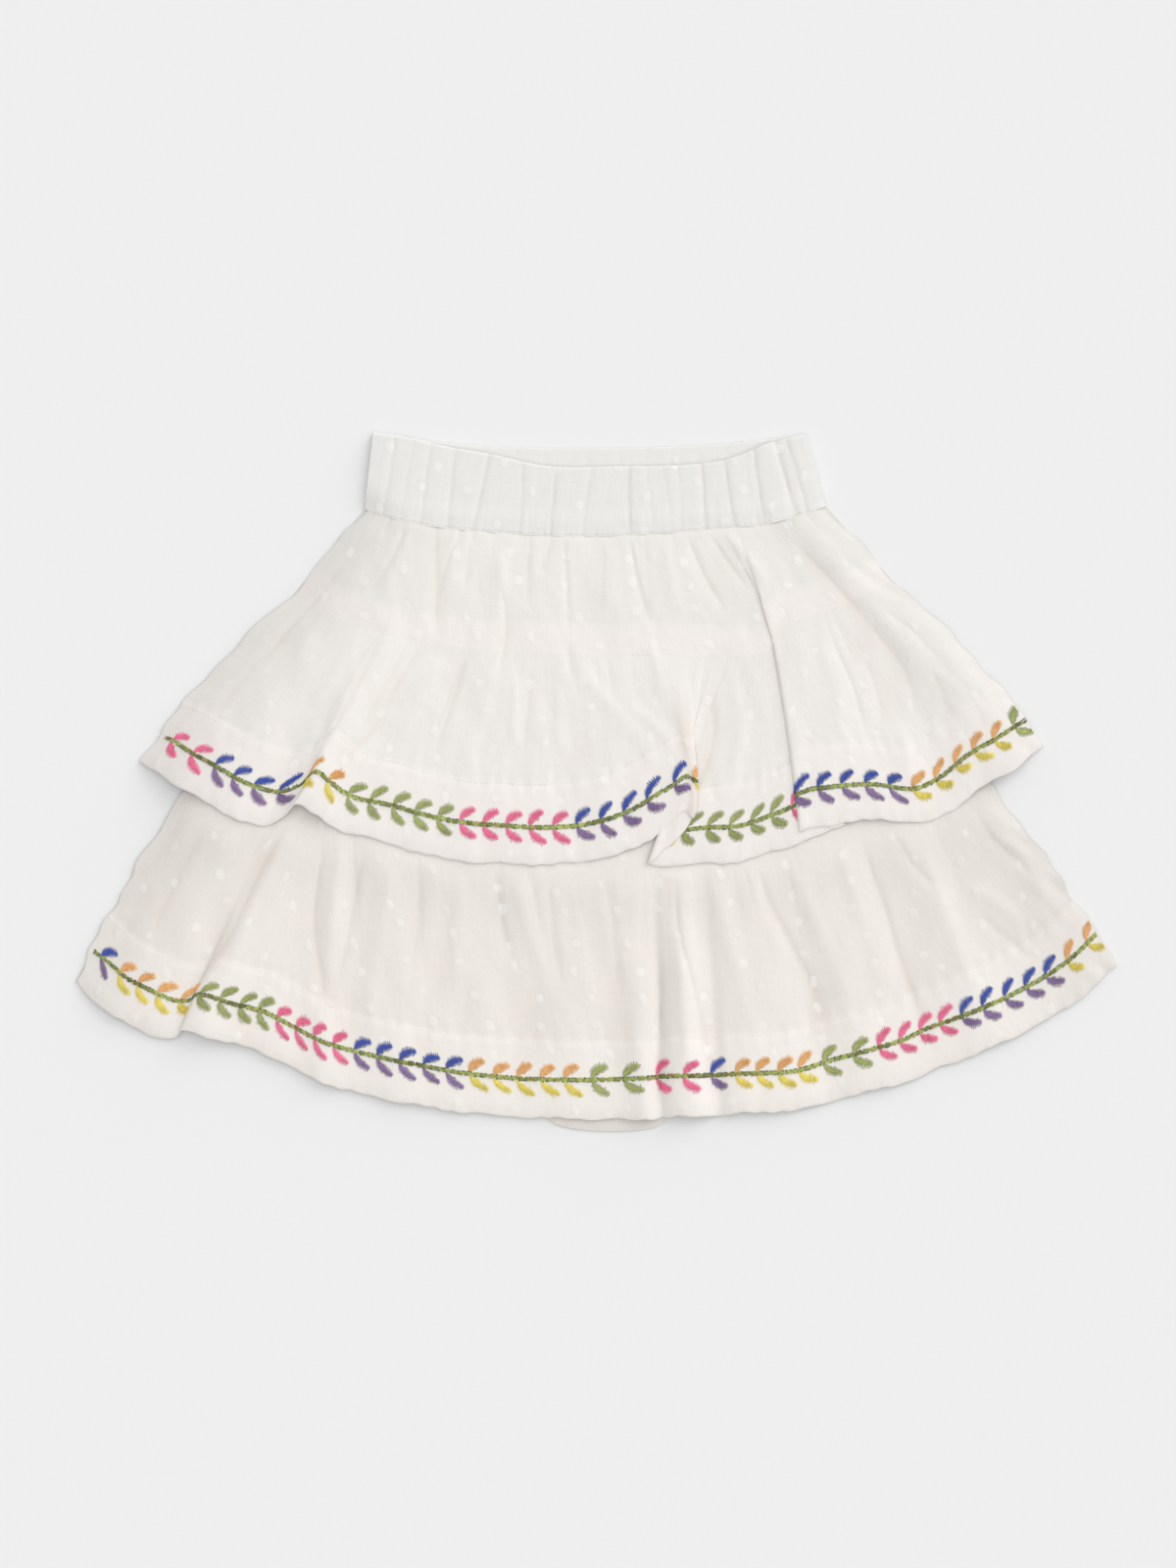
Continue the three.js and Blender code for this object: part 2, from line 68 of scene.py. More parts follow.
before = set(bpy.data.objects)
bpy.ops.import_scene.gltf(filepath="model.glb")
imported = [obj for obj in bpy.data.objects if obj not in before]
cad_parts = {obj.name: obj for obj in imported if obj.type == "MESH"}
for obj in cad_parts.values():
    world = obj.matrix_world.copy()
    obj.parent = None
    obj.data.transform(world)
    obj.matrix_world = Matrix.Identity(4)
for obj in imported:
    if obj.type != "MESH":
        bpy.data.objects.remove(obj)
CAD_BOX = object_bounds()

MM = 0.001
BODY = "root"
FIT = 0.03  # a piece stays in its solid's box, but for this share of the longest side

# ================================================================ sizes of the cloth
SIDE_ROLL = 24.0  # how far in from its side edges a front piece still rolls down
SIDE_BOW = {"upper": 5.5, "lower": 2.5}  # how far the sides of each tier belly out
TURN_SHARE = 0.12  # how far either side of its row a turn is rounded, in rows
PRESSED = 0.6  # the height of the upper tier's folds, as a share of what the solids allow
FOLD_ROWS = (8.0, 13.5)  # rows of YOKE_EDGE in the deep fold, where no gathers are
LEVEL = {
    "band": 4.0, "yoke": 5.3, "upper seam": 7.55, "upper hem": 8.1,
    "carrier": 5.7, "lower seam": 6.25, "lower hem": 2.3,
}
EDGE = {
    "band": 3.3, "yoke": 1.3, "upper": 1.3,
    "carrier": 2.6, "lower seam": 2.4, "lower hem": 1.2,
}


def table(names, *rows):
    """A table with named columns, as arrays. A row may leave out its last columns, which are 0."""
    names = names.split()
    full = [tuple(row) + (0.0,) * (len(names) - len(row)) for row in rows]
    return {name: np.array(column, float) for name, column in zip(names, zip(*full))}


# Lines across the skort, from its left side to its right, a row for each bend.
BAND_TOP_FRONT = table(
    "x y",
    (-114.5, 178), (-95, 175), (-78, 171), (-55, 167), (-25, 160.8), (10, 160.8), (45, 161.5),
    (66, 164.5), (88, 173), (106, 177),
)
BAND_TOP_BACK = table(
    "x y", (-114.5, 178.6), (-78, 173), (-35, 170.6), (20, 170.6), (66, 172.6), (106, 177.6)
)
WAIST = table(
    "x y",
    (-119, 139), (-105, 134), (-85, 130), (-55, 127), (-24, 125), (10, 125.2), (40, 127),
    (65, 129.2), (85, 131), (104, 136), (116, 140.5),
)
# waist: where the same thread meets the waist line, as an x on it. lift: height over the level
# of the line. turn: the radius at which the cloth folds back.
YOKE_EDGE = table(
    "waist x y lift turn",
    (-119, -155, 96.5), (-110, -133, 84), (-96, -105, 74, 0.4), (-72, -70, 68.5),
    (-36, -35, 66, 0.4), (-5, -5, 65), (24, 35, 64.5, 0.5), (43, 65, 64.5), (53, 82, 64.8, 0.4),
    (59, 90, 66.3, 0.8), (63, 96.5, 69.5, 1.1, 0.5), (67, 92, 72.2, 1.7),
    (71, 87.5, 75, 2.3, 0.6), (76, 94, 78.7, 2.8), (88, 112, 85.5, 1.8), (101, 132, 93.5, 0.5),
    (116, 151, 102),
)
# seam: the row of YOKE_EDGE that the same thread runs down from.
UPPER_HEM = table(
    "seam x y lift turn",
    (0, -234, 10), (0.15, -224, 4.5), (0.5, -205, -7, 0.5), (0.9, -185, -18, 1),
    (1.2, -169, -22.5, 0.2),
    # the arch
    (1.55, -161, -18.5, 4.5), (1.85, -154, -11, 10), (2.15, -144, -16.5, 7.5),
    (2.45, -132, -24, 1.6), (2.75, -110, -30, 0.5), (3.2, -80, -38.5), (3.7, -45, -41.5, 0.6),
    (4.3, -13, -41, 0.2), (4.8, 6, -37.5, 1.5),
    # the curl, which climbs to the right, turns under and turns back
    (5.15, 21, -32.5, 2.2), (5.55, 35, -22.5, 3.8), (5.9, 44, -16, 5.0),
    (6.2, 48.5, -18.5, 4.4, 0.9), (6.5, 42, -26.5, 3.3), (6.75, 32, -36, 2.4),
    (6.95, 25, -42, 1.5, 1.3), (7.1, 33, -42.7, 0.1), (7.4, 50, -41.5), (7.8, 70, -40.5, 0.3),
    # the deep fold, which passes under, turns back and turns again at its lip
    (8.2, 90, -35, 0.5), (8.7, 108, -28.5, 0.9), (9.3, 119, -24.5, 1.1),
    (10, 125, -22, 1.4, 0.5), (11, 113, -23, 2.2), (12, 102, -26, 2.8, 0.7),
    (12.9, 109, -23.2, 3.6), (13.3, 122, -21, 3.4), (14, 145, -19, 1.9), (14.5, 166, -20.5, 1),
    (15, 179, -14.5),
    (15.4, 195, -2.5, 1.2), (15.75, 210, 6, 1), (16, 228, 17.5),
)
LOWER_SEAM = table(
    "x y",
    (-209, -1), (-190, -3), (-160, -5), (-130, -9), (-95, -18), (-50, -25), (0, -26), (50, -26),
    (90, -20), (130, -9), (165, -5), (195, 4),
)
# seam: a row of LOWER_SEAM.
LOWER_HEM = table(
    "seam x y lift",
    (0, -267, -102), (0.15, -260, -108.5, 0.3), (0.55, -249, -118, 1.4),
    (1.1, -235, -125.5, 0.8), (1.6, -223, -130.5), (2, -215, -130, 0.6),
    (2.2, -212.5, -127, 3.2), (2.35, -205, -127.5, 5), (2.5, -193, -131.5, 3.2),
    (2.62, -174, -136.5, 1.4), (2.75, -157, -145, 0.3), (2.95, -140, -153, 2),
    (3.2, -124, -158, 0.2), (3.7, -98, -163.5, 1.4), (4.3, -70, -168, 0.4),
    (4.9, -38, -170.7), (5.35, -10, -171.5, 1), (5.9, 12, -172, 1), (6.3, 24.5, -171.5, 3.2),
    # the groove and the ridge beside it
    (6.47, 29, -171.2, 1.6), (6.55, 32, -171), (6.63, 35, -170.8, 2), (6.75, 41, -170.3, 4.4),
    (6.85, 52, -170, 3.8), (6.95, 58, -169.9, 1.2), (7.05, 62, -169.7, 0.2),
    (7.15, 69, -169, 1.8), (7.35, 87, -167.8, 2), (7.6, 105, -166.5, 1), (7.85, 120, -162),
    (8.4, 140, -157, 1.5), (8.8, 160, -151.5, 0.8), (9.05, 175, -145), (9.5, 197, -136.5, 1.8),
    (10, 217, -127, 1.2), (10.5, 235, -117, 0.4), (10.8, 251, -106, 0.8), (11, 265, -93.5),
)
# Lines of the back, which lies flat.
YOKE_EDGE_BACK = table(
    "x y", (-154.5, 96.5), (-105, 74), (-40, 66), (35, 66), (100, 77), (150.5, 102)
)
UPPER_HEM_BACK = table(
    "x y",
    (-233.5, 10.5), (-190, -12), (-120, -29), (-40, -38), (40, -38), (110, -28), (180, -8),
    (227.5, 18),
)
LOWER_HEM_BACK = table(
    "x y",
    (-266.5, -101.5), (-248, -116), (-222, -125), (-190, -128), (-157, -142), (-120, -155),
    (-75, -165), (-32, -168.5), (-20, -175), (6, -178), (30, -175.5), (42, -167), (90, -165),
    (130, -157), (175, -142), (235, -114), (264.5, -93),
)
CARRIER_TOP = table(
    "x y", (-143, 86), (-105, 71), (-40, 63.5), (35, 62), (88, 62.5), (138, 92)
)
CARRIER_LOW = table(
    "x y",
    (-203, -0.5), (-160, -4.2), (-130, -8.2), (-95, -17.2), (-50, -24.2), (0, -25.2),
    (50, -25.2), (90, -19.2), (130, -8.2), (165, -4.2), (190, 3),
)

# ================================================================ lines and surfaces


def clamp01(value):
    return np.clip(value, 0.0, 1.0)


def smoothstep(low, high, value):
    t = clamp01((value - low) / (high - low))
    return t * t * (3 - 2 * t)


def lerp(a, b, share):
    return a + (b - a) * share


def column_at(rows, column, place):
    """One column of a table at places between its rows."""
    return np.interp(place, np.arange(len(rows[column])), rows[column])


def place_at(rows, column, value):
    """The places, counted in rows, at which a column that only grows reaches a value."""
    return np.interp(value, rows[column], np.arange(len(rows[column])))


def through(rows):
    """A smooth curve through the rows of a table, read by row number."""
    lift = rows.get("lift", np.zeros(len(rows["x"])))
    p = np.stack([rows["x"], rows["y"], lift], 1)
    p = np.vstack([2 * p[0] - p[1], p, 2 * p[-1] - p[-2]])

    def at(row):
        row = np.clip(np.asarray(row, float), 0, len(p) - 3)
        i = np.minimum(row.astype(int), len(p) - 4)
        w = (row - i)[..., None]
        a, b, c, d = p[i], p[i + 1], p[i + 2], p[i + 3]
        ab = np.sqrt(np.linalg.norm(b - a, axis=-1, keepdims=True))
        bc = np.sqrt(np.linalg.norm(c - b, axis=-1, keepdims=True))
        cd = np.sqrt(np.linalg.norm(d - c, axis=-1, keepdims=True))
        start = bc * ((b - a) / ab - (c - a) / (ab + bc) + (c - b) / bc)
        end = bc * ((c - b) / bc - (d - b) / (bc + cd) + (d - c) / cd)
        square = (-3 * b + 3 * c - 2 * start - end) * w**2
        return b + start * w + square + (2 * b - 2 * c + start + end) * w**3

    return at


def rounded(rows):
    """The rows of a table with a half circle of three rows in place of each that has a turn."""
    names = [*rows, "at"]
    made = []
    last = len(rows["x"]) - 1
    for i in range(last + 1):
        row = {name: rows[name][i] for name in rows} | {"at": float(i)}
        row["lift"] *= PRESSED
        if not row["turn"]:
            made.append(row)
            continue
        spot = np.array([row["x"], row["y"]])
        inward = spot - np.array([rows["x"][i - 1], rows["y"][i - 1]])
        outward = np.array([rows["x"][i + 1], rows["y"][i + 1]]) - spot
        tip = inward / np.linalg.norm(inward) - outward / np.linalg.norm(outward)
        tip /= np.linalg.norm(tip)
        rise = PRESSED * row["turn"] * np.sign(rows["lift"][i + 1] - rows["lift"][i - 1])
        for side in (-1, 0, 1):
            step = dict(row)
            step["at"] += side * TURN_SHARE
            if side:
                step["x"] -= row["turn"] * tip[0]
                step["y"] -= row["turn"] * tip[1]
                step["lift"] += side * rise
            if "seam" in row:
                step["seam"] += side * TURN_SHARE
            if "waist" in row:
                step["waist"] += side * row["turn"]
            made.append(step)
    return {name: np.array([row[name] for row in made]) for name in names}


def line_run(points):
    """Length run so far at each point of a line."""
    return np.concatenate([[0], np.cumsum(np.linalg.norm(np.diff(points, axis=0), axis=1))])


def even_places(line, count_rows, step):
    """Places along a line of a table, evenly spaced by its length, about a step apart."""
    fine = np.linspace(0, count_rows - 1, 6000)
    run = line_run(line(fine))
    count = max(2, int(round(run[-1] / step)))
    return np.interp(np.linspace(0, run[-1], count + 1), run, fine)


def side_height(x, line, edge, level):
    """Height of a front piece: the edge's at its sides, the level's once it has rolled over."""
    inward = np.minimum(x - line["x"][0], line["x"][-1] - x)
    return lerp(edge, level, np.sin(np.pi / 2 * clamp01(inward / SIDE_ROLL)))


def settle(v):
    """Cloth leaves its seam's height early."""
    return 1 - (1 - v) ** 2


yoke_edge = rounded(YOKE_EDGE)
upper_hem = rounded(UPPER_HEM)
line_waist = through(WAIST)
line_yoke = through(yoke_edge)
line_upper_hem = through(upper_hem)
line_lower_seam = through(LOWER_SEAM)
line_lower_hem = through(LOWER_HEM)


def yoke_edge_points(row):
    """Lower edge of the yoke and top of the upper tier, at rows of YOKE_EDGE."""
    p = line_yoke(place_at(yoke_edge, "at", row))
    p[..., 2] += side_height(p[..., 0], YOKE_EDGE, EDGE["yoke"], LEVEL["upper seam"])
    return p


def rows_down(length, step, fine_edge):
    """Shares of the way down a cloth, closer together at its rolled lower edge."""
    edge = np.array([0.0, 0.3, 0.8]) if fine_edge else np.array([0.0])
    rest = np.linspace(1.6 if fine_edge else step, length, max(2, int(round(length / step))))
    return 1 - np.concatenate([edge, rest])[::-1] / length


def run_of(points, axis):
    """Length run so far along one axis of a grid of points."""
    steps = np.linalg.norm(np.diff(points, axis=axis), axis=-1)
    start = np.zeros_like(np.take(steps, [0], axis=axis))
    return np.concatenate([start, np.cumsum(steps, axis=axis)], axis=axis)


def grid_normals(points):
    across = np.gradient(points, axis=1)
    down = np.gradient(points, axis=0)
    normal = np.cross(down, across)
    return normal / np.maximum(np.linalg.norm(normal, axis=-1, keepdims=True), 1e-9)


class Cloth:
    """A cloth's middle surface: rows of points from its seam down to its hem, each row from the
    left to the right. u is the distance along the hem and d the distance up from it."""

    def __init__(self, points, thickness, trough=None):
        self.points = points
        # painted shade: how far each spot lies down in a crease, from 0 to 1, where its colour is
        # mixed towards a warm brown
        self.trough = np.zeros(points.shape[:2]) if trough is None else clamp01(trough)
        edge = np.minimum(points[..., 0] - points[:, :1, 0], points[:, -1:, 0] - points[..., 0])
        # how much of the other plies lies under it, 0 at the side edges: the cloth is painted
        # darker towards its side edges, partly for the thin ply there and partly as painted shade
        # on its sloping sides
        self.backed = smoothstep(-6, 62, edge) if thickness.max() < 1 else np.ones_like(edge)
        self.normals = grid_normals(points)
        self.along = run_of(points[-1:], 1)[0]
        self.down = run_of(points, 0)
        self.length = self.down[-1]
        self.thickness = thickness  # (rows, columns)

    def read(self, values, row, column):
        """Values of a grid between its rows and columns."""
        rows, columns = values.shape[:2]
        j = np.clip(np.floor(row).astype(int), 0, rows - 2)
        i = np.clip(np.floor(column).astype(int), 0, columns - 2)
        y, x = row - j, column - i
        if values.ndim == 3:
            y, x = y[..., None], x[..., None]
        top = lerp(values[j, i], values[j, i + 1], x)
        return lerp(top, lerp(values[j + 1, i], values[j + 1, i + 1], x), y)

    def place(self, u, d):
        """Row and column of the spot u along the hem and d up from it."""
        u, d = np.broadcast_arrays(np.asarray(u, float), np.asarray(d, float))
        column = np.interp(u, self.along, np.arange(len(self.along)))
        middle = np.interp(u, self.along, self.length)
        centre = self.down.shape[1] // 2
        shares = self.down[:, centre] / self.length[centre]
        row = np.interp(1 - d / middle, shares, np.arange(len(shares)))
        return row, column

    def lay(self, u, d, lift):
        """Points at a height over the cloth's upper face."""
        row, column = self.place(u, d)
        point = self.read(self.points, row, column)
        normal = self.read(self.normals, row, column)
        normal /= np.maximum(np.linalg.norm(normal, axis=-1, keepdims=True), 1e-9)
        rise = self.read(self.thickness, row, column) / 2 + lift
        return point + normal * rise[..., None]


# ================================================================ folds and creases
# height: of a ridge, or below 0 the depth of a trough. width: half its width. steep: how much
# steeper its right side is than its left, from -1 to 1. Then points down its length.
UPPER_CREASES = [
    (-1.3, 4.5, 0.0, (-82.7, 128), (-82, 100), (-82.5, 72)),
    (1.0, 4.0, 0.4, (-49, 122), (-49.5, 95), (-50, 70)),
    (-0.9, 2.4, 0.0, (-64, 130), (-66, 114), (-69, 94)),
    (0.8, 3.0, 0.3, (-72, 130), (-75, 112), (-76, 92)),
    (-0.8, 2.0, 0.0, (-22.5, 126), (-26, 116), (-31, 104)),
    (0.7, 3.0, -0.4, (4, 125), (5, 106), (3, 84)),
    (-1.0, 2.2, 0.5, (15.7, 126), (19.7, 104), (27.5, 78)),
    (0.8, 3.5, 0.2, (33, 126), (37, 104), (43, 80)),
    (-1.1, 2.6, 0.3, (44.7, 126), (54, 105), (66, 84)),
    (-1.0, 2.4, 0.3, (55.7, 127), (66, 112), (79, 94)),
    (0.9, 3.0, 0.0, (64, 128), (74, 116), (88, 98)),
    (-0.9, 2.6, 0.0, (-98, 130), (-106, 112), (-118, 94)),
    (0.9, 4.0, 0.3, (-107, 131), (-117, 113), (-130, 95)),
    # the long valley down the right side
    (-1.8, 5.5, 0.3, (94, 128), (105, 116), (117, 104), (130, 89), (145, 71), (157, 54),
     (163, 26)),
    (1.3, 6.0, 0.0, (104, 132), (122, 114), (138, 96), (156, 72), (172, 46)),
    (-1.1, 5.0, 0.0, (170, 56), (176, 40), (178, 22)),
    # the left side
    (-1.4, 5.0, 0.2, (-152, 82), (-166, 68), (-181, 53), (-194, 32)),
    (1.1, 6.0, 0.0, (-140, 76), (-158, 58), (-172, 40), (-186, 14)),
    (-1.3, 4.2, 0.4, (-86, 76), (-95, 62), (-103, 48), (-116, 24), (-140, 2)),
    (1.2, 6.0, 0.0, (-78, 66), (-90, 44), (-104, 18)),
    (-0.9, 3.5, 0.0, (-64, 70), (-75, 46), (-86, 18)),
    (0.9, 5.0, 0.2, (-50, 68), (-58, 42), (-66, 12), (-70, -14)),
    (-1.1, 2.4, 0.2, (-114, 138), (-135, 112), (-149, 96)),
    (-1.0, 2.2, 0.3, (-120, 124), (-138, 101), (-158, 76), (-172, 62)),
    (-1.1, 2.4, 0.3, (-108, 80), (-124, 48), (-136, 28), (-147, 14)),
    (0.8, 3.0, 0.0, (-118, 82), (-136, 54), (-150, 32)),
    (0.7, 3.0, 0.0, (-128, 96), (-142, 82), (-156, 62)),
    (-0.9, 2.2, 0.0, (-64, 138), (-75, 117), (-83, 90)),
    (0.7, 2.6, 0.0, (-94, 132), (-104, 108), (-112, 90)),
    (-0.9, 2.2, 0.3, (-96, 74), (-111, 44), (-124, 20)),
    (-0.9, 2.4, 0.0, (-67, 62), (-78, 30), (-86, 6)),
    (-0.8, 2.2, 0.0, (-50, 103), (-47, 76), (-53, 48)),
    # the middle
    (-1.0, 2.0, 0.3, (-18, 128), (-16.6, 112), (-15.6, 90), (-15, 70)),
    (0.8, 2.4, 0.3, (27, 72), (29, 58), (31, 42)),
    (0.8, 2.6, 0.0, (-42, 56), (-42.5, 34), (-43, 12)),
    (-0.7, 2.0, -0.2, (-34, 126), (-36, 108), (-35, 88)),
    (-0.9, 2.6, 0.0, (-15.5, 70), (-14.5, 60), (-13, 50)),
    (1.0, 4.0, 0.4, (-12, 62), (4, 42), (18, 25), (30, 8)),
    (0.9, 3.6, 0.3, (14, 42), (26, 29), (36, 18)),
    (0.9, 4.0, -0.3, (-21, 52), (-20, 32), (-21, 10)),
    (-0.9, 3.5, 0.0, (-34, 60), (-36, 36), (-38, 8)),
    (-1.2, 3.2, 0.3, (57, 46), (59, 26), (54, 6), (46, -8)),
    (1.0, 4.0, 0.0, (68, 56), (72, 32), (70, 8), (62, -16)),
    # the right panel
    (-1.2, 4.0, -0.2, (138, 93), (159, 77), (186, 53), (204, 40)),
    (0.9, 4.5, 0.0, (150, 97), (172, 80), (196, 57)),
    (-0.8, 2.6, 0.2, (118, 74), (130, 46), (136, 20)),
    (0.9, 5.0, 0.0, (112, 76), (120, 52), (124, 26), (128, 0)),
    (-0.8, 4.0, 0.0, (128, 78), (140, 50), (146, 24)),
    (0.8, 5.0, 0.0, (150, 30), (158, 8), (160, -8)),
    (-0.9, 4.0, 0.2, (176, 70), (190, 44), (198, 20)),
]
LOWER_CREASES = [
    (-1.6, 5.0, 0.3, (-160, -24), (-175, -51), (-186, -76), (-198, -94), (-210, -109),
     (-216, -130)),
    (1.5, 6.0, -0.2, (-150, -30), (-163, -54), (-174, -78), (-188, -100), (-200, -118)),
    (-1.2, 5.0, 0.0, (-197, -18), (-215, -51), (-231, -84)),
    (1.1, 6.0, 0.0, (-186, -22), (-198, -50), (-212, -80), (-224, -104)),
    (-1.5, 3.6, 0.0, (-140, -30), (-144.5, -71), (-140.5, -101), (-137.5, -124)),
    (-1.3, 3.6, 0.0, (-119, -28), (-124, -61), (-130, -91), (-136, -113)),
    (1.4, 4.0, 0.0, (-130, -30), (-134, -62), (-136, -88)),
    (1.3, 6.0, 0.2, (-104, -32), (-110, -66), (-116, -100), (-118, -138)),
    (-0.9, 5.0, 0.0, (-88, -34), (-92, -74), (-98, -116)),
    (1.0, 5.0, 0.0, (-70, -36), (-72, -78), (-76, -120), (-80, -150)),
    (-1.2, 3.4, 0.3, (-53, -38), (-50.5, -61), (-47.5, -77), (-40, -98)),
    (1.1, 4.5, 0.0, (-42, -40), (-38, -66), (-28, -96), (-22, -124)),
    (-1.1, 3.2, 0.2, (-25.5, -42), (-22.5, -81), (-17.5, -108)),
    (0.9, 4.5, 0.0, (-12, -42), (-8, -80), (-4, -120)),
    (-0.8, 4.0, 0.0, (4, -40), (8, -78), (12, -118)),
    # the groove and the ridge to its right
    (-2.2, 2.4, -0.3, (31, -84), (31.5, -110), (31, -140), (32, -176)),
    (1.6, 4.5, -0.3, (42, -60), (43, -100), (45, -138), (47, -176)),
    (-1.6, 3.6, 0.2, (39, -40), (41, -76), (48, -104), (56, -140), (64, -172)),
    (1.0, 5.0, 0.0, (58, -42), (66, -80), (76, -120), (80, -152)),
    (-1.4, 4.0, 0.2, (79, -38), (87, -61), (100, -86), (110, -107), (115, -128)),
    (1.2, 5.0, 0.0, (96, -36), (106, -62), (118, -90), (128, -118)),
    (-1.4, 4.0, 0.2, (131, -22), (138, -42), (146, -64), (153, -88), (161, -110), (174, -148)),
    (1.2, 5.0, 0.0, (120, -26), (130, -56), (140, -84), (148, -112)),
    (-1.0, 3.2, 0.0, (149, -24), (160, -42), (176, -58)),
    (1.1, 5.0, 0.0, (162, -30), (176, -66), (188, -98), (196, -126)),
    (-1.2, 4.0, 0.0, (189, -8), (200, -27), (222, -48)),
    (0.9, 4.0, 0.0, (186, -52), (204, -62), (222, -78)),
    (-0.8, 3.0, 0.0, (192, -66), (208, -80), (226, -94)),
    (0.8, 5.0, 0.0, (204, -20), (222, -44), (240, -74)),
]
# Soft creases of the back, where it lies on the surface, as heights over it.
BACK_CREASES = [
    (0.5, 5.0, 0.0, (-150, 92), (-176, 40), (-205, -10)),
    (0.45, 6.0, 0.2, (-96, 122), (-106, 60), (-132, -20)),
    (0.5, 4.0, 0.0, (-60, 120), (-62, 70), (-70, 8), (-66, -60)),
    (0.4, 7.0, 0.0, (-20, 118), (-16, 50), (-22, -26)),
    (0.5, 5.0, -0.2, (24, 120), (38, 62), (30, -20), (36, -90)),
    (0.45, 5.0, 0.0, (66, 118), (88, 60), (104, -14)),
    (0.5, 6.0, 0.0, (98, 120), (132, 64), (168, 8)),
    (0.45, 5.0, 0.0, (-190, -20), (-206, -60), (-236, -106)),
    (0.5, 6.0, 0.0, (-120, -34), (-136, -84), (-150, -132)),
    (0.4, 5.0, 0.0, (-10, -50), (-6, -110), (-14, -160)),
    (0.5, 6.0, 0.0, (84, -40), (98, -96), (112, -150)),
    (0.45, 5.0, 0.0, (150, -30), (170, -80), (204, -126)),
]


def smooth_line(points, count=22):
    line = through({"x": np.array([p[0] for p in points]), "y": np.array([p[1] for p in points])})
    return line(np.linspace(0, len(points) - 1, count))[:, :2]


def crease(x, y, height, width, steep, *points):
    """Height of a ridge or trough along a line, soft at both its ends."""
    line = smooth_line(points)
    run = line_run(line)
    reach = 3.2 * width
    near = (x > line[:, 0].min() - reach) & (x < line[:, 0].max() + reach)
    near &= (y > line[:, 1].min() - reach) & (y < line[:, 1].max() + reach)
    made = np.zeros_like(x)
    if not near.any():
        return made
    spot = np.stack([x[near], y[near]], 1)[:, None, :]
    start, step = line[None, :-1], np.diff(line, axis=0)[None]
    share = clamp01(((spot - start) * step).sum(-1) / (step**2).sum(-1))
    off = spot - (start + share[..., None] * step)
    distance = np.hypot(off[..., 0], off[..., 1])
    best = distance.argmin(1)
    pick = np.arange(len(best))
    side = step[0, best, 0] * off[pick, best, 1] - step[0, best, 1] * off[pick, best, 0]
    signed = distance[pick, best] * np.sign(side)
    along = (run[best] + share[pick, best] * np.diff(run)[best]) / run[-1]
    spread = width * (1 - 0.6 * steep * np.sign(signed)) * (0.75 + 0.5 * along)
    fade = smoothstep(0, 0.22, along) * smoothstep(0, 0.3, 1 - along)
    shape = np.exp(-((signed / spread) ** 2))
    if height < 0:  # a trough has a sharp line at its bottom, and the cloth puffs out beside it
        shape = 0.35 * shape + 0.95 * np.exp(-np.abs(signed) / (0.5 * spread))
    made[near] = height * fade * shape
    return made


def creases(x, y, rows):
    return sum(crease(x, y, *row) for row in rows)


def ripple(x, y, seed, height, shortest, longest):
    """Low uneven waves that run down the cloth more than across it."""
    random = np.random.default_rng(seed)
    made = np.zeros_like(x)
    for _ in range(14):
        wave = random.uniform(shortest, longest)
        turn = random.normal(0, 0.42)
        phase = random.uniform(0, 2 * np.pi)
        across = np.cos(turn) * x + np.sin(turn) * y
        made += np.sin(2 * np.pi * across / wave + phase) * (wave / longest)
    return made * height / 2.2


def gathers(q, down, seed, height, pitch, reach):
    """Small tucks that run down from a gathered seam, where the cloth puffs out between sharp
    lines. q: run along the seam. down: run from it."""
    random = np.random.default_rng(seed)
    made = np.zeros_like(down)
    at = float(q.min()) + pitch / 2
    while at < q.max():
        tall = height * random.uniform(0.1, 1.0) ** 1.3 * 1.5
        half = pitch * random.uniform(0.13, 0.34)
        length = reach * random.uniform(0.3, 1.5)
        drift = random.normal(0, 0.06)
        off = np.abs(q - at - drift * down) / (half * (1 + down / 60))
        made += tall * (0.3 - np.exp(-off)) * np.exp(-off / 6) * np.exp(-((down / length) ** 1.4))
        at += pitch * random.uniform(0.4, 2.0)
    return made


def above(relief, floor):
    """Relief whose troughs go softly no deeper than a floor, to stay over what is under it."""
    return np.where(relief < 0, floor * (np.exp(np.minimum(relief, 0) / floor) - 1), relief)


def ditch(down, depth, reach):
    """A groove at a seam, where the cloth is pulled down."""
    return -depth * np.exp(-((down / reach) ** 2))


# ================================================================ surfaces of the pieces
# Each takes s, the skort's sizes, in millimetres.
GRID_STEP = {"yoke": 1.0, "upper": 1.1, "lower": 1.25, "band": 0.95, "back": 2.6, "inner": 5.0}
DOWN_STEP = 2.1  # of the tiers, whose creases run down
YOKE_ROWS = 64
# Rough width and depth of the waistband, which set its columns and the spread of its rows.
BAND_ACROSS = 235.0
BAND_DOWN = {"front": 36.0, "back": 40.0}
# Where along the upper hem the cloth leans aside, how far around, and how far to the right.
UPPER_SWAYS = ((88, 15, 4.6), (303, 13, 4.5))
CARRIER_LIFTS = {"front": (2.6, 5.6), "back": (1.7, 1.7)}  # at its side edges and between them
SHORTS_LIFTS = {"front": 4.4, "back": 3.1}
BACK_LIFT = 0.35  # of the backs that lie on the surface
LOWER_BACK_LIFTS = (1.65, 0.5)  # on the upper tier's back, and on the surface


def hem_thickness(d, s):
    """One ply, two in the turned-up hem, and rolled thin at the very edge."""
    thick = lerp(s.double_ply, s.single_ply, smoothstep(s.hem_band - 0.4, s.hem_band + 0.6, d))
    return thick * lerp(0.55, 1, clamp01(d / 0.9) ** 0.5)


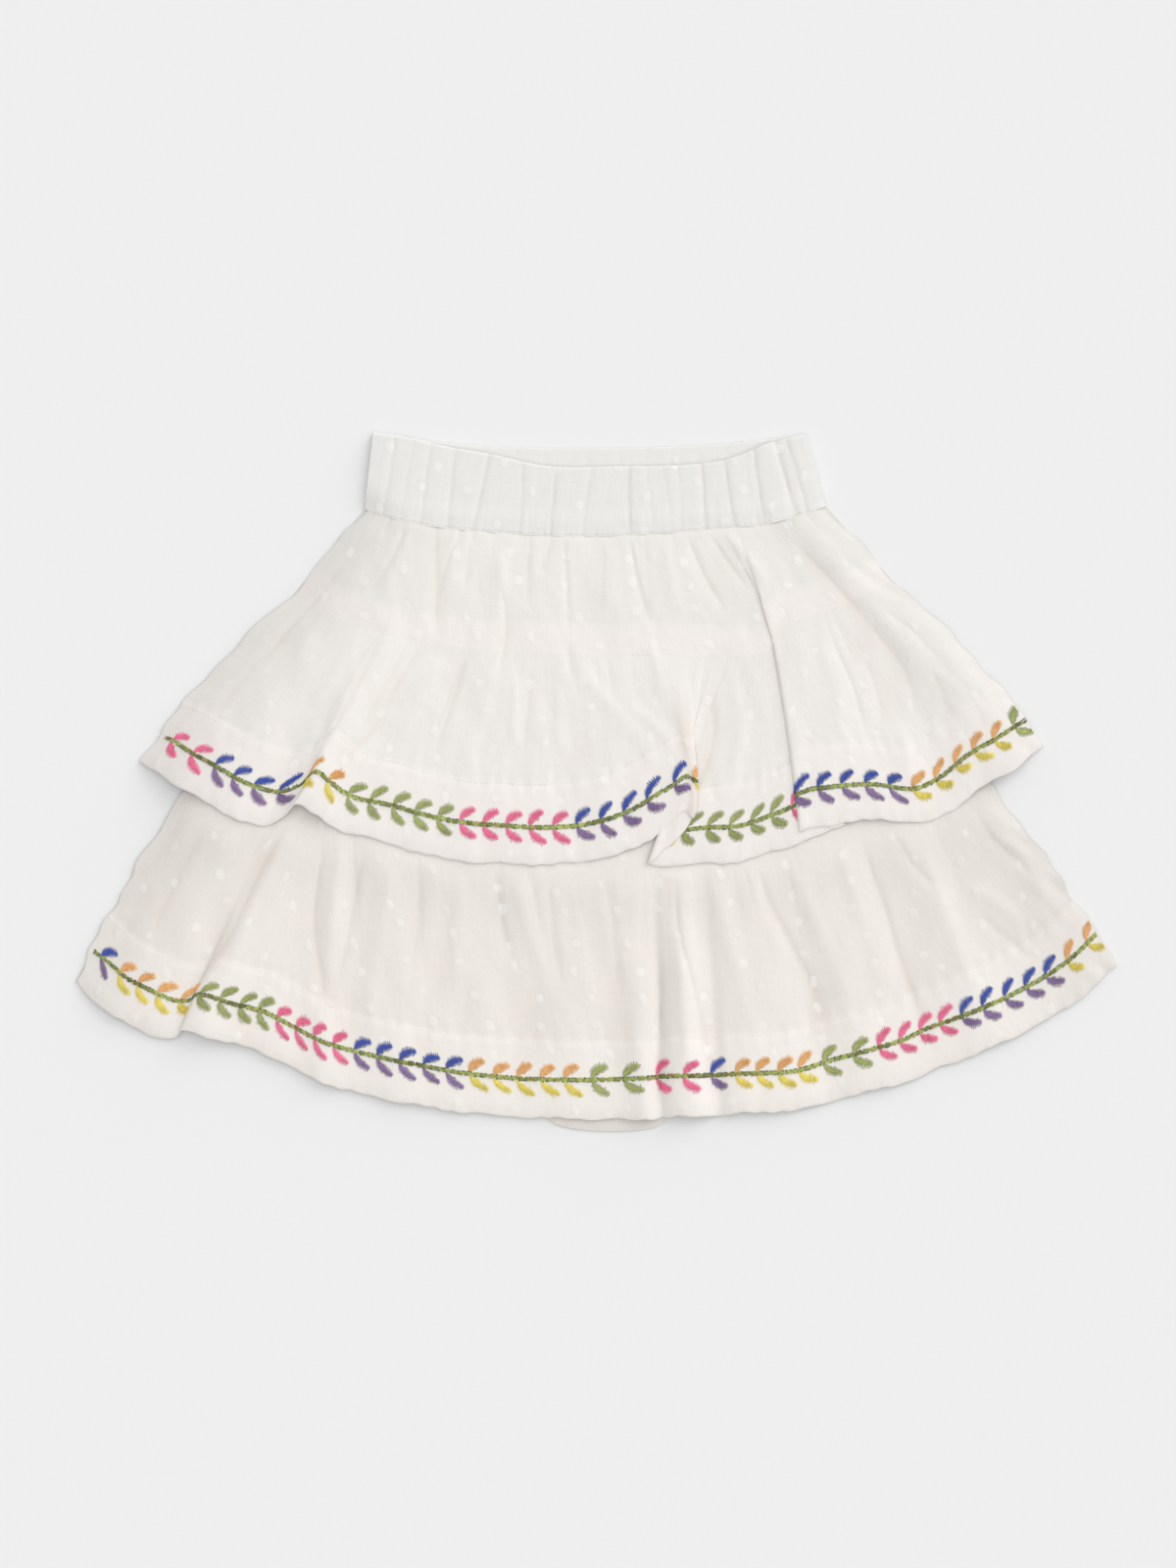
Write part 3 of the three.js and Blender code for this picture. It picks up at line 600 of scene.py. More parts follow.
def hem_relief(u, d, s, seed):
    """The step and the stitched dimples at the top of a hem band, and its slightly wavy edge."""
    band = s.hem_band
    step = s.single_ply / 2 * (1 - smoothstep(band - 1.0, band + 0.8, d))
    stitched = -0.16 * np.exp(-(((d - band) / 0.9) ** 2))
    pucker = 0.14 * np.sin(u * 2 * np.pi / 9.3 + 1.3 * np.sin(u / 17.0 + seed))
    near = np.exp(-(((d - band) / 5.0) ** 2)) + 0.8 * np.exp(-((d / 4.0) ** 2))
    return step + stitched + pucker * near


def settled_edge(d, drop):
    """How far a hem sinks, in its last few millimetres, onto what is under it."""
    return -drop * (1 - clamp01(d / 6.5)) ** 1.6


def seam_run(points):
    return run_of(points[:1], 1)[0][None]


def worn_sides(p, reach=13.0):
    """Crumples the side edges of a front piece: in and out along them, and up and down."""
    for side, edge in ((-1, p[:, :1]), (1, p[:, -1:])):
        y = p[..., 1] + 40 * side
        near = np.exp(-((np.abs(p[..., 0] - edge[..., 0]) / reach) ** 2))
        bumps = 0.75 * np.sin(y / 3.1 + 2 * np.sin(y / 17)) + 0.9 * np.sin(y / 6.3 + 1.5)
        p[..., 0] += side * near * (bumps - 0.4)
        fine = np.sin(y / 2.3 + 0.35 * side * p[..., 0] + 2 * np.sin(y / 11))
        p[..., 2] += 0.32 * near * fine * np.abs(np.sin(y / 13))


def worn_hem(p, u, d, seed):
    """Lets a hem wander a little up and down along its length."""
    wander = 0.3 * np.sin(u / 2.1 + 2 * np.sin(u / 9 + seed)) + 0.45 * np.sin(u / 5.3 + seed)
    p[..., 1] += wander * np.exp(-d / 5.0)


def sway(p, u, d, rows):
    """Moves the cloth above the hem aside. rows: where along the hem, how far around, how far to
    the right."""
    for centre, around, right in rows:
        share = d / 20.0
        p[..., 0] += right * np.exp(-(((u - centre) / around) ** 2)) * share * np.exp(1 - share)


def fold_mask(row):
    """0 in the deep fold and 1 away from it."""
    before = 1 - smoothstep(FOLD_ROWS[0] - 1.0, FOLD_ROWS[0], row)
    return before + smoothstep(FOLD_ROWS[1], FOLD_ROWS[1] + 0.8, row)


def top_relief(x, y, s):
    """What the yoke and the upper tier share, so that the layers of a fold move together."""
    edge = 234 - 0.9 * np.maximum(y, 0)
    soft = smoothstep(0, 9, edge - np.abs(x))
    low = ripple(x, y, 11, s.ripple_height, 17, 46) + ripple(x, y, 12, 0.05, 7, 16)
    return soft * above(0.65 * s.crease_depth * creases(x, y, UPPER_CREASES) + low, 1.5)


def crease_shade_of(relief):
    """How much painted shade a spot gets for lying in a crease: fully where the relief falls off
    sharply.
    """
    return np.maximum(-relief / 1.3, 0) ** 1.5


def yoke_front(s):
    row = even_places(line_yoke, len(yoke_edge["x"]), GRID_STEP["yoke"])
    at = column_at(yoke_edge, "at", row)
    top = line_waist(place_at(WAIST, "x", column_at(yoke_edge, "waist", row)))
    top[:, 2] = side_height(top[:, 0], WAIST, EDGE["yoke"], LEVEL["yoke"])
    low = yoke_edge_points(at)
    v = np.linspace(0, 1, YOKE_ROWS)[:, None]
    p = lerp(top[None], low[None], v[..., None])
    p[..., 2] = lerp(top[None, :, 2], low[None, :, 2], settle(v))
    q, down = seam_run(p), run_of(p, 0)
    relief = top_relief(p[..., 0], p[..., 1], s)
    relief += gathers(q, down, 21, 0.6 * s.gather_height, 7.5, 34) * fold_mask(at)[None]
    relief += ditch(down, 0.2, 1.4)
    p[..., 2] += relief
    worn_sides(p)
    return Cloth(p, np.full(p.shape[:2], s.single_ply), crease_shade_of(relief))


def hanging(seam, low, bow, place_share):
    """Points of a tier from its seam to its hem."""
    v = rows_down(float(np.median(np.linalg.norm(low - seam, axis=1))), DOWN_STEP, True)[:, None]
    p = lerp(seam[None], low[None], v[..., None])
    p[..., 0] += bow * lerp(-1, 1, place_share)[None] ** 3 * 4 * v * (1 - v)
    p[..., 2] = lerp(seam[None, :, 2], low[None, :, 2], settle(v))
    return p


def upper_tier_front(s):
    count = len(upper_hem["x"])
    place = even_places(line_upper_hem, count, GRID_STEP["upper"])
    row = column_at(upper_hem, "seam", place)
    low = line_upper_hem(place)
    low[:, 2] += side_height(low[:, 0], UPPER_HEM, EDGE["upper"], LEVEL["upper hem"])
    p = hanging(yoke_edge_points(row), low, SIDE_BOW["upper"], place / (count - 1))
    q, down = seam_run(p), run_of(p, 0)
    u, d = run_of(p[-1:], 1), down[-1:] - down
    relief = top_relief(p[..., 0], p[..., 1], s)
    tucks = gathers(q, down, 31, 0.9 * s.gather_height, 8.5, 34) * smoothstep(0, 8, down)
    relief += tucks * fold_mask(row)[None]
    p[..., 2] += relief
    p[..., 2] += hem_relief(u, d, s, 0.4) + settled_edge(d, 0.6)
    sway(p, u, d, UPPER_SWAYS)
    worn_hem(p, u, d, 0.4)
    worn_sides(p)
    # painted shade on the curl's steep side, which would otherwise catch the light: it is added to
    # the crease shade there
    wall = smoothstep(5.84, 5.98, row) - smoothstep(6.2, 6.4, row)
    tone = 0.6 * wall[None] * smoothstep(0.15, 0.6, down / down[-1:])
    return Cloth(p, hem_thickness(d, s), crease_shade_of(relief) + tone)


def ceiling(cloth, points):
    """Height under the lowest layer of a cloth at other points, and far up where none is."""
    step, reach = 2.0, 300.0
    count = int(2 * reach / step)
    lowest = np.full((count, count), 99.0)
    under = cloth.points[..., 2] - cloth.thickness / 2

    def cell(p):
        cells = (((p[..., axis] + reach) / step).astype(int) for axis in (0, 1))
        return tuple(np.clip(index, 1, count - 2) for index in cells)

    np.minimum.at(lowest, cell(cloth.points), under)
    x, y = cell(points)
    around = [lowest[x + i, y + j] for i in (-1, 0, 1) for j in (-1, 0, 1)]
    return np.minimum.reduce(around)


def lower_tier_front(s):
    count = len(LOWER_HEM["x"])
    place = even_places(line_lower_hem, count, GRID_STEP["lower"])
    seam = line_lower_seam(column_at(LOWER_HEM, "seam", place))
    seam[:, 2] = side_height(seam[:, 0], LOWER_SEAM, EDGE["lower seam"], LEVEL["lower seam"])
    low = line_lower_hem(place)
    low[:, 2] += side_height(low[:, 0], LOWER_HEM, EDGE["lower hem"], LEVEL["lower hem"])
    p = hanging(seam, low, SIDE_BOW["lower"], place / (count - 1))
    q, down = seam_run(p), run_of(p, 0)
    u, d = run_of(p[-1:], 1), down[-1:] - down
    shown = smoothstep(14, 34, down)  # what the upper tier covers stays low
    relief = 0.7 * s.crease_depth * creases(p[..., 0], p[..., 1], LOWER_CREASES)
    relief = above(relief + ripple(p[..., 0], p[..., 1], 12, 1.3 * s.ripple_height, 17, 52), 2.1)
    inward = np.minimum(u, u.max() - u)
    relief *= shown * smoothstep(0, 18, inward)
    relief += gathers(q, down, 41, 1.3 * s.gather_height, 7.2, 52) * lerp(0.35, 1, shown)
    p[..., 2] += relief
    p[..., 2] += hem_relief(u, d, s, 1.1) + settled_edge(d, 0.8)
    # it puffs out from under the upper tier's hem
    p[..., 2] += 1.8 * np.exp(-(((down - 24) / 17) ** 2)) * smoothstep(0, 26, inward)
    worn_hem(p, u, d, 2.2)
    worn_sides(p)
    p[..., 2] = np.minimum(p[..., 2], ceiling(cloth_of("upper_tier_front"), p) - 0.5)
    p[..., 2] = np.maximum(p[..., 2], 1.25 - 0.35 * smoothstep(4, 0, d))
    return Cloth(p, hem_thickness(d, s), crease_shade_of(relief))


def flat_panel(top_rows, low_rows, step, height, thickness):
    """A cloth between two lines, whose points match by their share of the way across.
    height takes the points, the shares across and the run down."""
    top, low = through(top_rows), through(low_rows)
    width = np.ptp(low_rows["x"])
    share = np.linspace(0, 1, int(width / step))
    a = top(share * (len(top_rows["x"]) - 1))
    b = low(share * (len(low_rows["x"]) - 1))
    v = np.linspace(0, 1, int(np.linalg.norm(b - a, axis=1).mean() / step) + 2)[:, None]
    p = lerp(a[None], b[None], v[..., None])
    p[..., 2] = height(p, share[None], run_of(p, 0))
    return Cloth(p, np.full(p.shape[:2], thickness))


def back_height(base):
    def height(p, share, down):
        relief = creases(p[..., 0], p[..., 1], BACK_CREASES)
        relief += 0.1 * (1 + ripple(p[..., 0], p[..., 1], 15, 0.8, 20, 60).clip(-1, 1))
        return base + relief * smoothstep(0, 0.06, share) * smoothstep(0, 0.06, 1 - share)

    return height


# Creases of the waistband front: where each meets its top edge and the waist, and how deep it is.
BAND_CREASES = table(
    "top low deep",
    (-114.5, -119, 0.2), (-104, -109, 0.8), (-94.3, -99.8, 0.5), (-84.5, -90, 0.9),
    (-72, -77, 1.1), (-54.3, -65, 1.3), (-38.5, -40.3, 0.9), (-31, -33.5, 0.4),
    (-22.3, -23.6, 1.2), (-3.2, -8, 0.8), (16.4, 16, 1.4), (25, 27.4, 0.5), (33, 37, 0.6),
    (40, 42.5, 0.7), (51.7, 55.4, 1.3), (63.8, 70.3, 1.4),
    (79.6, 85, 1.3), (90.7, 100, 1.5), (96, 106, 1.0), (106, 116, 0.2),
)


def band_relief(x, v, lines, s, seed):
    """Soft panels of a gathered casing between fine creases. lines: rows of top x, low x and
    depth, from left to right."""
    random = np.random.default_rng(seed)
    made = np.zeros(np.broadcast(x, v).shape)
    for k, (top, low, deep) in enumerate(lines):
        side = random.choice((-1, 1))
        rows = [(top, low, deep, -1.0, 2.0)]
        if k + 1 < len(lines):
            between = random.uniform(0.3, 0.7)
            start, end = random.choice(((-1.0, 0.55), (-1.0, 0.8), (0.35, 2.0)))
            spot = [lerp(a, b, between) for a, b in zip((top, low), lines[k + 1])]
            rows.append((*spot, random.uniform(0.1, 0.4), start, end))
        for top_x, low_x, depth, start, end in rows:
            off = x - lerp(top_x, low_x, v) - 0.7 * np.sin(3.1 * v + k)
            fade = smoothstep(start, start + 0.35, v) * (1 - smoothstep(end - 0.35, end, v))
            line = -0.7 * np.exp(-np.abs(off) / 0.8) - 0.3 * np.exp(-np.abs(off) / 3.5)
            puff = 0.25 * np.exp(-(((off - 4.0 * side) / 3.6) ** 2))
            made += s.rib_height * depth * fade * (line + puff)
    return made


def band_edges(down, length, thick):
    """Thickness of a casing: rounded over at its fold and thinner at its seam."""
    fold = np.sqrt(clamp01(1 - (1 - clamp01(down / (0.5 * thick))) ** 2))
    seam = lerp(1, 0.22, smoothstep(9.0, 0.0, length - down))
    return thick * np.maximum(fold, 0.12) * seam


def band_rows(length, step):
    """Shares of the way down a waistband, closer together at its rounded top edge."""
    rest = np.linspace(1.4, length, int(length / step))
    return np.concatenate([[0, 0.12, 0.4, 0.8], rest])[:, None] / length


def band_front(s):
    count = int(BAND_ACROSS / GRID_STEP["band"])
    low_x = np.linspace(BAND_CREASES["low"][0], BAND_CREASES["low"][-1], count)
    top_x = column_at(BAND_CREASES, "top", place_at(BAND_CREASES, "low", low_x))
    a = through(BAND_TOP_FRONT)(place_at(BAND_TOP_FRONT, "x", top_x))
    b = line_waist(place_at(WAIST, "x", low_x))
    v = band_rows(BAND_DOWN["front"], GRID_STEP["band"])
    p = lerp(a[None], b[None], v[..., None])
    down = run_of(p, 0)
    length = down[-1:]
    p[..., 2] = side_height(p[..., 0], WAIST, EDGE["band"], LEVEL["band"] + 0.4)
    foot = side_height(p[..., 0], WAIST, EDGE["yoke"], LEVEL["yoke"]) - 0.05
    p[..., 2] = lerp(p[..., 2], foot, smoothstep(16, 0, length - down))
    lines = list(zip(BAND_CREASES["top"], BAND_CREASES["low"], BAND_CREASES["deep"]))
    ribs = band_relief(p[..., 0], v, lines, s, 51)
    # the seam's tucks, and a top edge that the elastic draws into low scallops
    tucks = gathers(run_of(p[-1:], 1), length - down, 52, 0.45, 7.5, 5.0)
    p[..., 2] += ribs * smoothstep(0.0, 2.0, down + 0.6) + tucks
    p[..., 1] += 0.35 * ribs * np.exp(-((down / 5.0) ** 2))
    # painted shade in the ribs' creases and in the groove at the seam
    trough = crease_shade_of(1.6 * ribs + 1.2 * ditch(length - down, 0.6, 1.2))
    return Cloth(p, band_edges(down, length, s.band_thickness), trough)


def band_back(s):
    share = np.linspace(0, 1, int(BAND_ACROSS / GRID_STEP["band"]))
    a = through(BAND_TOP_BACK)(share * (len(BAND_TOP_BACK["x"]) - 1))
    b = line_waist(place_at(WAIST, "x", lerp(WAIST["x"][0], WAIST["x"][-1], share)))
    v = band_rows(BAND_DOWN["back"], GRID_STEP["band"])
    p = lerp(a[None], b[None], v[..., None])
    down = run_of(p, 0)
    random = np.random.default_rng(61)
    tops = np.sort(np.linspace(-112, 104, 17) + random.uniform(-3.5, 3.5, 17))
    lines = [(x, 1.04 * x, random.uniform(0.4, 0.9)) for x in tops]
    ribs = 0.6 * band_relief(p[..., 0], v, lines, s, 62)
    p[..., 2] = 0.95 + np.clip(ribs, -0.15, 0.75)
    p[..., 1] += 0.25 * ribs * np.exp(-((down / 5.0) ** 2))
    return Cloth(p, band_edges(down, down[-1:], 0.75 * s.band_thickness))


def yoke_back(s):
    height = back_height(BACK_LIFT)
    return flat_panel(WAIST, YOKE_EDGE_BACK, GRID_STEP["back"], height, s.single_ply)


def upper_tier_back(s):
    height = back_height(BACK_LIFT)
    return flat_panel(YOKE_EDGE_BACK, UPPER_HEM_BACK, GRID_STEP["back"], height, s.single_ply)


def lower_tier_back(s):
    """It lies on the upper tier's back, then steps down to the surface."""
    back = back_height(0.0)

    def height(p, share, down):
        return lerp(*LOWER_BACK_LIFTS, smoothstep(18, 30, down)) + back(p, share, down)

    made = flat_panel(LOWER_SEAM, LOWER_HEM_BACK, GRID_STEP["back"], height, s.single_ply)
    d = made.length - made.down
    made.thickness = hem_thickness(d, s)
    return made


def carrier(base):
    """The plain ply inside, from the yoke's edge down to the lower tier's seam."""

    def made(s):
        def height(p, share, down):
            low, high = base
            rise = lerp(low, high, np.minimum(1, 8 * share * (1 - share)))
            return rise + ripple(p[..., 0], p[..., 1], 71, 0.12, 22, 60)

        return flat_panel(CARRIER_TOP, CARRIER_LOW, GRID_STEP["inner"], height, s.single_ply)

    return made


# Half widths of the inner shorts down their length: outer edge, and inner edge below the crotch.
SHORTS = table(
    "y outer inner", (106, 100, 0), (60, 108, 0), (2, 109.3, 0), (-30, 110, 9)
)


def shorts_leg(side, level):
    """One half of a face of the shorts: from the middle line, then the inseam, out to the side."""

    def made(s):
        y = np.linspace(SHORTS["y"][0], SHORTS["y"][-1], 30)
        order = SHORTS["y"][::-1]
        outer = np.interp(y, order, SHORTS["outer"][::-1])
        inner = np.interp(y, order, SHORTS["inner"][::-1])
        share = np.linspace(0, 1, 26)[None]
        x = side * lerp(inner[:, None], outer[:, None], share)
        if side < 0:
            x = x[:, ::-1]
        p = np.stack([x, np.broadcast_to(y[:, None], x.shape), np.full_like(x, level)], -1)
        p[..., 2] += ripple(p[..., 0], p[..., 1], 81, 0.1, 20, 50)
        return Cloth(p, np.full(x.shape, s.single_ply))

    return made


# ================================================================ settings


def size(name, description, millimetres):
    return FloatProperty(
        name=name, description=description, default=millimetres * MM, min=0.0, soft_max=0.1,
        precision=5, unit="LENGTH", subtype="DISTANCE",
    )


def linear(*rgb):
    """A colour given from 0 to 255, as the shaders take it."""
    return tuple(c / 255 / 12.92 if c < 10.3 else ((c / 255 + 0.055) / 1.055) ** 2.4 for c in rgb)


def colour(name, description, *rgb):
    return FloatVectorProperty(
        name=name, description=description, default=linear(*rgb), size=3, min=0.0, max=1.0,
        subtype="COLOR",
    )


class SkortSizes(bpy.types.PropertyGroup):
    """Sizes of the cloth, its gathers and its needlework."""

    single_ply: size("Single ply", "Thickness of one ply of the cotton", 0.55)
    double_ply: size("Turned-up hem", "Thickness of the two plies of a hem", 0.95)
    band_thickness: size("Waistband", "Thickness of the casing with its elastic", 2.0)
    hem_band: size("Hem depth", "How far each hem is turned up", 40.0)
    gather_height: size("Gathers", "Height of the tucks under a gathered seam", 0.4)
    rib_height: size("Ribs", "Depth of the creases of the waistband", 0.5)
    ripple_height: size("Ripples", "Height of the slight waves all over the cloth", 0.22)
    dot_width: size("Dot width", "Width of a woven dot", 4.4)
    dot_length: size("Dot length", "Length of a woven dot", 5.2)
    dot_spacing: size("Dot spacing", "From one dot to the next in a row", 29.0)
    vine_rise: size("Vine height", "From a hem's edge up to the stem of its vine", 18.3)
    leaf_thread: size("Leaf thread", "Thickness of the satin stitch of the leaves", 0.52)
    stem_width: size("Stem width", "Width of the stem of the vine", 2.4)
    stitch_length: size("Stitch length", "Length of a sewing stitch", 2.3)
    sewing_thread: size("Sewing thread", "Thickness of the sewing thread", 0.32)
    crease_depth: FloatProperty(
        name="Creases", description="How strong the folds of the cloth are", default=0.85,
        min=0.0, soft_max=4.0, subtype="FACTOR",
    )


class SkortColours(bpy.types.PropertyGroup):
    """Colours of the cotton and the threads."""

    cotton: colour("Cotton", "The yoke where it is one ply", 226, 223, 218)
    cotton_upper: colour("Upper cotton", "The upper tier where it is one ply", 228, 224, 219)
    cotton_double: colour("Double cotton", "The same cloth where it is two plies", 231, 226, 221)
    cotton_low: colour("Lower cotton", "The lower tier where it is one ply", 226, 221, 215)
    cotton_low_double: colour("Lower hem", "The lower tier's turned-up hem", 230, 225, 219)
    cotton_band: colour("Waistband", "The cloth of the waistband", 224, 223, 220)
    # Its darker colour is painted shade, for where the lower tier's back shows under the front
    # hem.
    cotton_inside: colour("Inner cotton", "The plies inside the skort", 218, 213, 206)
    dot: colour("Woven dots", "The raised dots of the cloth", 236, 234, 230)
    pink: colour("Pink thread", "Leaves", 252, 116, 160)
    blue: colour("Blue thread", "Upper leaves", 52, 86, 190)
    purple: colour("Purple thread", "Lower leaves", 152, 120, 176)
    orange: colour("Orange thread", "Upper leaves", 242, 182, 108)
    yellow: colour("Yellow thread", "Lower leaves", 236, 217, 92)
    green: colour("Green thread", "Leaves", 178, 188, 108)
    stem: colour("Stem thread", "The lighter stitches of the stem", 172, 186, 98)
    stem_dark: colour("Dark stem thread", "The darker stitches of the stem", 104, 112, 46)
    sewing: colour("Sewing thread", "Seams and hems", 236, 233, 229)
    floor: colour("Floor", "The surface that the skort lies on", 228, 228, 228)


def measures():
    """The sizes as set, in millimetres."""
    group = bpy.context.scene.skort_sizes

    made = SimpleNamespace()
    for name in SkortSizes.__annotations__:
        scale = MM if group.bl_rna.properties[name].unit == "LENGTH" else 1
        setattr(made, name, getattr(group, name) / scale)
    return made


# ================================================================ materials


class Finish:
    """A material under construction: its nodes, and short ways to add and join them."""

    def __init__(self, name, rough, sheen=0.0, specular=0.25):
        self.material = bpy.data.materials.new(name)
        self.material.use_nodes = True
        self.nodes = self.material.node_tree.nodes
        self.links = self.material.node_tree.links
        self.skin = self.nodes["Principled BSDF"]
        self.skin.inputs["Roughness"].default_value = rough
        self.skin.inputs["Specular IOR Level"].default_value = specular
        self.skin.inputs["Sheen Weight"].default_value = sheen
        self.skin.inputs["Sheen Roughness"].default_value = 0.5

    def add(self, kind, settings=None, **sockets):
        """A node of a kind, with settings on the node and values or sources on its inputs."""
        made = self.nodes.new("ShaderNode" + kind)
        for name, value in (settings or {}).items():
            setattr(made, name, value)
        for name, value in sockets.items():
            socket = made.inputs[int(name[1:])] if name[0] == "_" else made.inputs[name]
            if isinstance(value, bpy.types.NodeSocket):
                self.links.new(value, socket)
            else:
                socket.default_value = value
        return made

    def math(self, operation, a, b=0.0):
        return self.add("Math", {"operation": operation}, _0=a, _1=b).outputs[0]

    def mix(self, share, a, b, blend="MIX"):
        settings = {"data_type": "RGBA", "blend_type": blend}
        return self.add("Mix", settings, _0=share, _6=a, _7=b).outputs[2]

    def shaded(self, base, shade):
        """A colour made lighter or darker by a number."""
        grey = self.add("CombineColor", _0=shade, _1=shade, _2=shade).outputs[0]
        return self.mix(1.0, base, grey, "MULTIPLY")

    def noise(self, vector, scale, detail=2.0):
        """Noise over a vector in metres, stretched by how many times it repeats a metre."""
        spot = self.add("Mapping", Vector=vector, Scale=scale).outputs[0]
        return self.add("TexNoise", Vector=spot, Scale=1.0, Detail=detail).outputs[0]

    def range(self, value, low, high, start=0.0, end=1.0):
        node = self.add("MapRange", {"interpolation_type": "SMOOTHSTEP"}, Value=value)
        for index, number in enumerate((low, high, start, end), 1):
            node.inputs[index].default_value = number
        return node.outputs[0]

    def bump(self, height, depth, strength=1.0, before=None):
        node = self.add("Bump", Height=height, Distance=depth * MM, Strength=strength)
        if before is not None:
            self.links.new(before, node.inputs["Normal"])
        return node.outputs[0]

    def done(self, base, normal):
        self.links.new(base, self.skin.inputs["Base Color"])
        self.links.new(normal, self.skin.inputs["Normal"])
        return self.material


def rgba(rgb):
    return (*rgb, 1.0)


def cotton(name, plain, double=None, band=0.0, soft=0.4, dots=None):
    """Washed cotton voile: a fine weave with slubs and soft crumples, more opaque where it is
    two plies, up to band millimetres from its edge. Its UV map is in metres of cloth."""
    f = Finish(name, 0.92, sheen=0.15, specular=0.15)
    cloth = f.add("UVMap", {"uv_map": "cloth"}).outputs[0]
    parts = f.add("SeparateXYZ", Vector=cloth)
    warp = f.noise(cloth, (1250, 70, 1), detail=1.5)
    weft = f.noise(cloth, (60, 1100, 1), detail=1.5)
    slubs = f.math("ADD", warp, f.math("MULTIPLY", weft, 0.7))
    over = f.math("SINE", f.math("MULTIPLY", parts.outputs[0], 2 * math.pi / (0.52 * MM)))
    under = f.math("SINE", f.math("MULTIPLY", parts.outputs[1], 2 * math.pi / (0.56 * MM)))
    weave = f.math("MULTIPLY", over, under)
    crumple = f.noise(cloth, (150, 95, 1), detail=3.0)
    crush = f.noise(cloth, (420, 260, 1), detail=2.0)
    base = rgba(plain)
    if double is not None:
        uneven = f.math("MULTIPLY", f.noise(cloth, (70, 30, 1), detail=1.0), 3 * soft * MM)
        rise = f.math("ADD", parts.outputs[1], uneven)
        low, high = (band + 0.5 * soft) * MM, (band + 2.5 * soft) * MM
        ply = f.range(rise, low, high, 1.0, 0.0)
        base = f.mix(ply, base, rgba(double))
    if dots is not None:
        tuft = f.add("Attribute", {"attribute_name": "tuft"}).outputs["Fac"]
        base = f.mix(tuft, base, rgba(dots))
    shade = f.range(slubs, 0.55, 1.15, 0.982, 1.014)
    shade = f.math("MULTIPLY", shade, f.range(crush, 0.3, 0.7, 0.992, 1.006))
    # painted shade towards the side edges, partly for the thin ply there: down to 0.9 of the
    # colour where nothing lies under the cloth
    backed = f.add("Attribute", {"attribute_name": "backed"}).outputs["Fac"]
    shade = f.math("MULTIPLY", shade, f.range(backed, 0.0, 1.0, 0.9, 1.0))
    # painted shade in the creases: the colour goes up to 0.45 of the way to a warm brown
    if dots is None:
        trough = f.add("Attribute", {"attribute_name": "trough"}).outputs["Fac"]
        trough = f.math("MULTIPLY", trough, 0.45)
        base = f.mix(trough, base, rgba(linear(200, 184, 168)))
    normal = f.bump(crumple, 0.6, 0.35)
    normal = f.bump(crush, 0.14, 0.4, normal)
    normal = f.bump(slubs, 0.05, 0.6, normal)
    normal = f.bump(weave, 0.02, 0.5, normal)
    return f.done(f.shaded(base, shade), normal)


def thread(name, rough=0.5, sheen=0.3):
    """Embroidery or sewing thread: each stitch has its own colour, with fine twisted strands."""
    f = Finish(name, rough, sheen=sheen, specular=0.35)
    own = f.add("Attribute", {"attribute_name": "thread"}).outputs["Color"]
    spot = f.add("TexCoord").outputs["Object"]
    strands = f.noise(spot, (5200, 5200, 5200), detail=2.0)
    shade = f.range(strands, 0.3, 0.7, 0.86, 1.12)
    return f.done(f.shaded(own, shade), f.bump(strands, 0.05, 0.6))


# ================================================================ making meshes
THICKNESS_STEPS = 24


def clear_selection():
    if bpy.context.object and bpy.context.object.mode != "OBJECT":
        bpy.ops.object.mode_set(mode="OBJECT")
    bpy.ops.object.select_all(action="DESELECT")


def paint(piece, values, name, kind="FLOAT"):
    """Stores a value for each vertex of a piece under a name."""
    made = piece.data.attributes.new(name, kind, "POINT")
    field = "color" if kind == "FLOAT_COLOR" else "value"
    made.data.foreach_set(field, np.ascontiguousarray(values, np.float32).ravel())


def lay_uv(mesh, flat):
    """The piece's UV map, in metres of cloth. flat: one pair of coordinates for each vertex."""
    layer = mesh.uv_layers[0] if mesh.uv_layers else mesh.uv_layers.new()
    layer.name = "cloth"
    corner = np.empty(len(mesh.loops), np.int32)
    mesh.loops.foreach_get("vertex_index", corner)
    layer.data.foreach_set("uv", np.ascontiguousarray(flat[corner], np.float32).ravel())


def set_thickness(piece, thickness):
    """The vertex group that Solidify takes a piece's thickness from, in even steps."""
    group = piece.vertex_groups.new(name="thickness")
    step = np.rint(thickness.ravel() / thickness.max() * THICKNESS_STEPS).astype(int)
    for level in np.unique(step):
        group.add(np.flatnonzero(step == level).tolist(), level / THICKNESS_STEPS, "REPLACE")


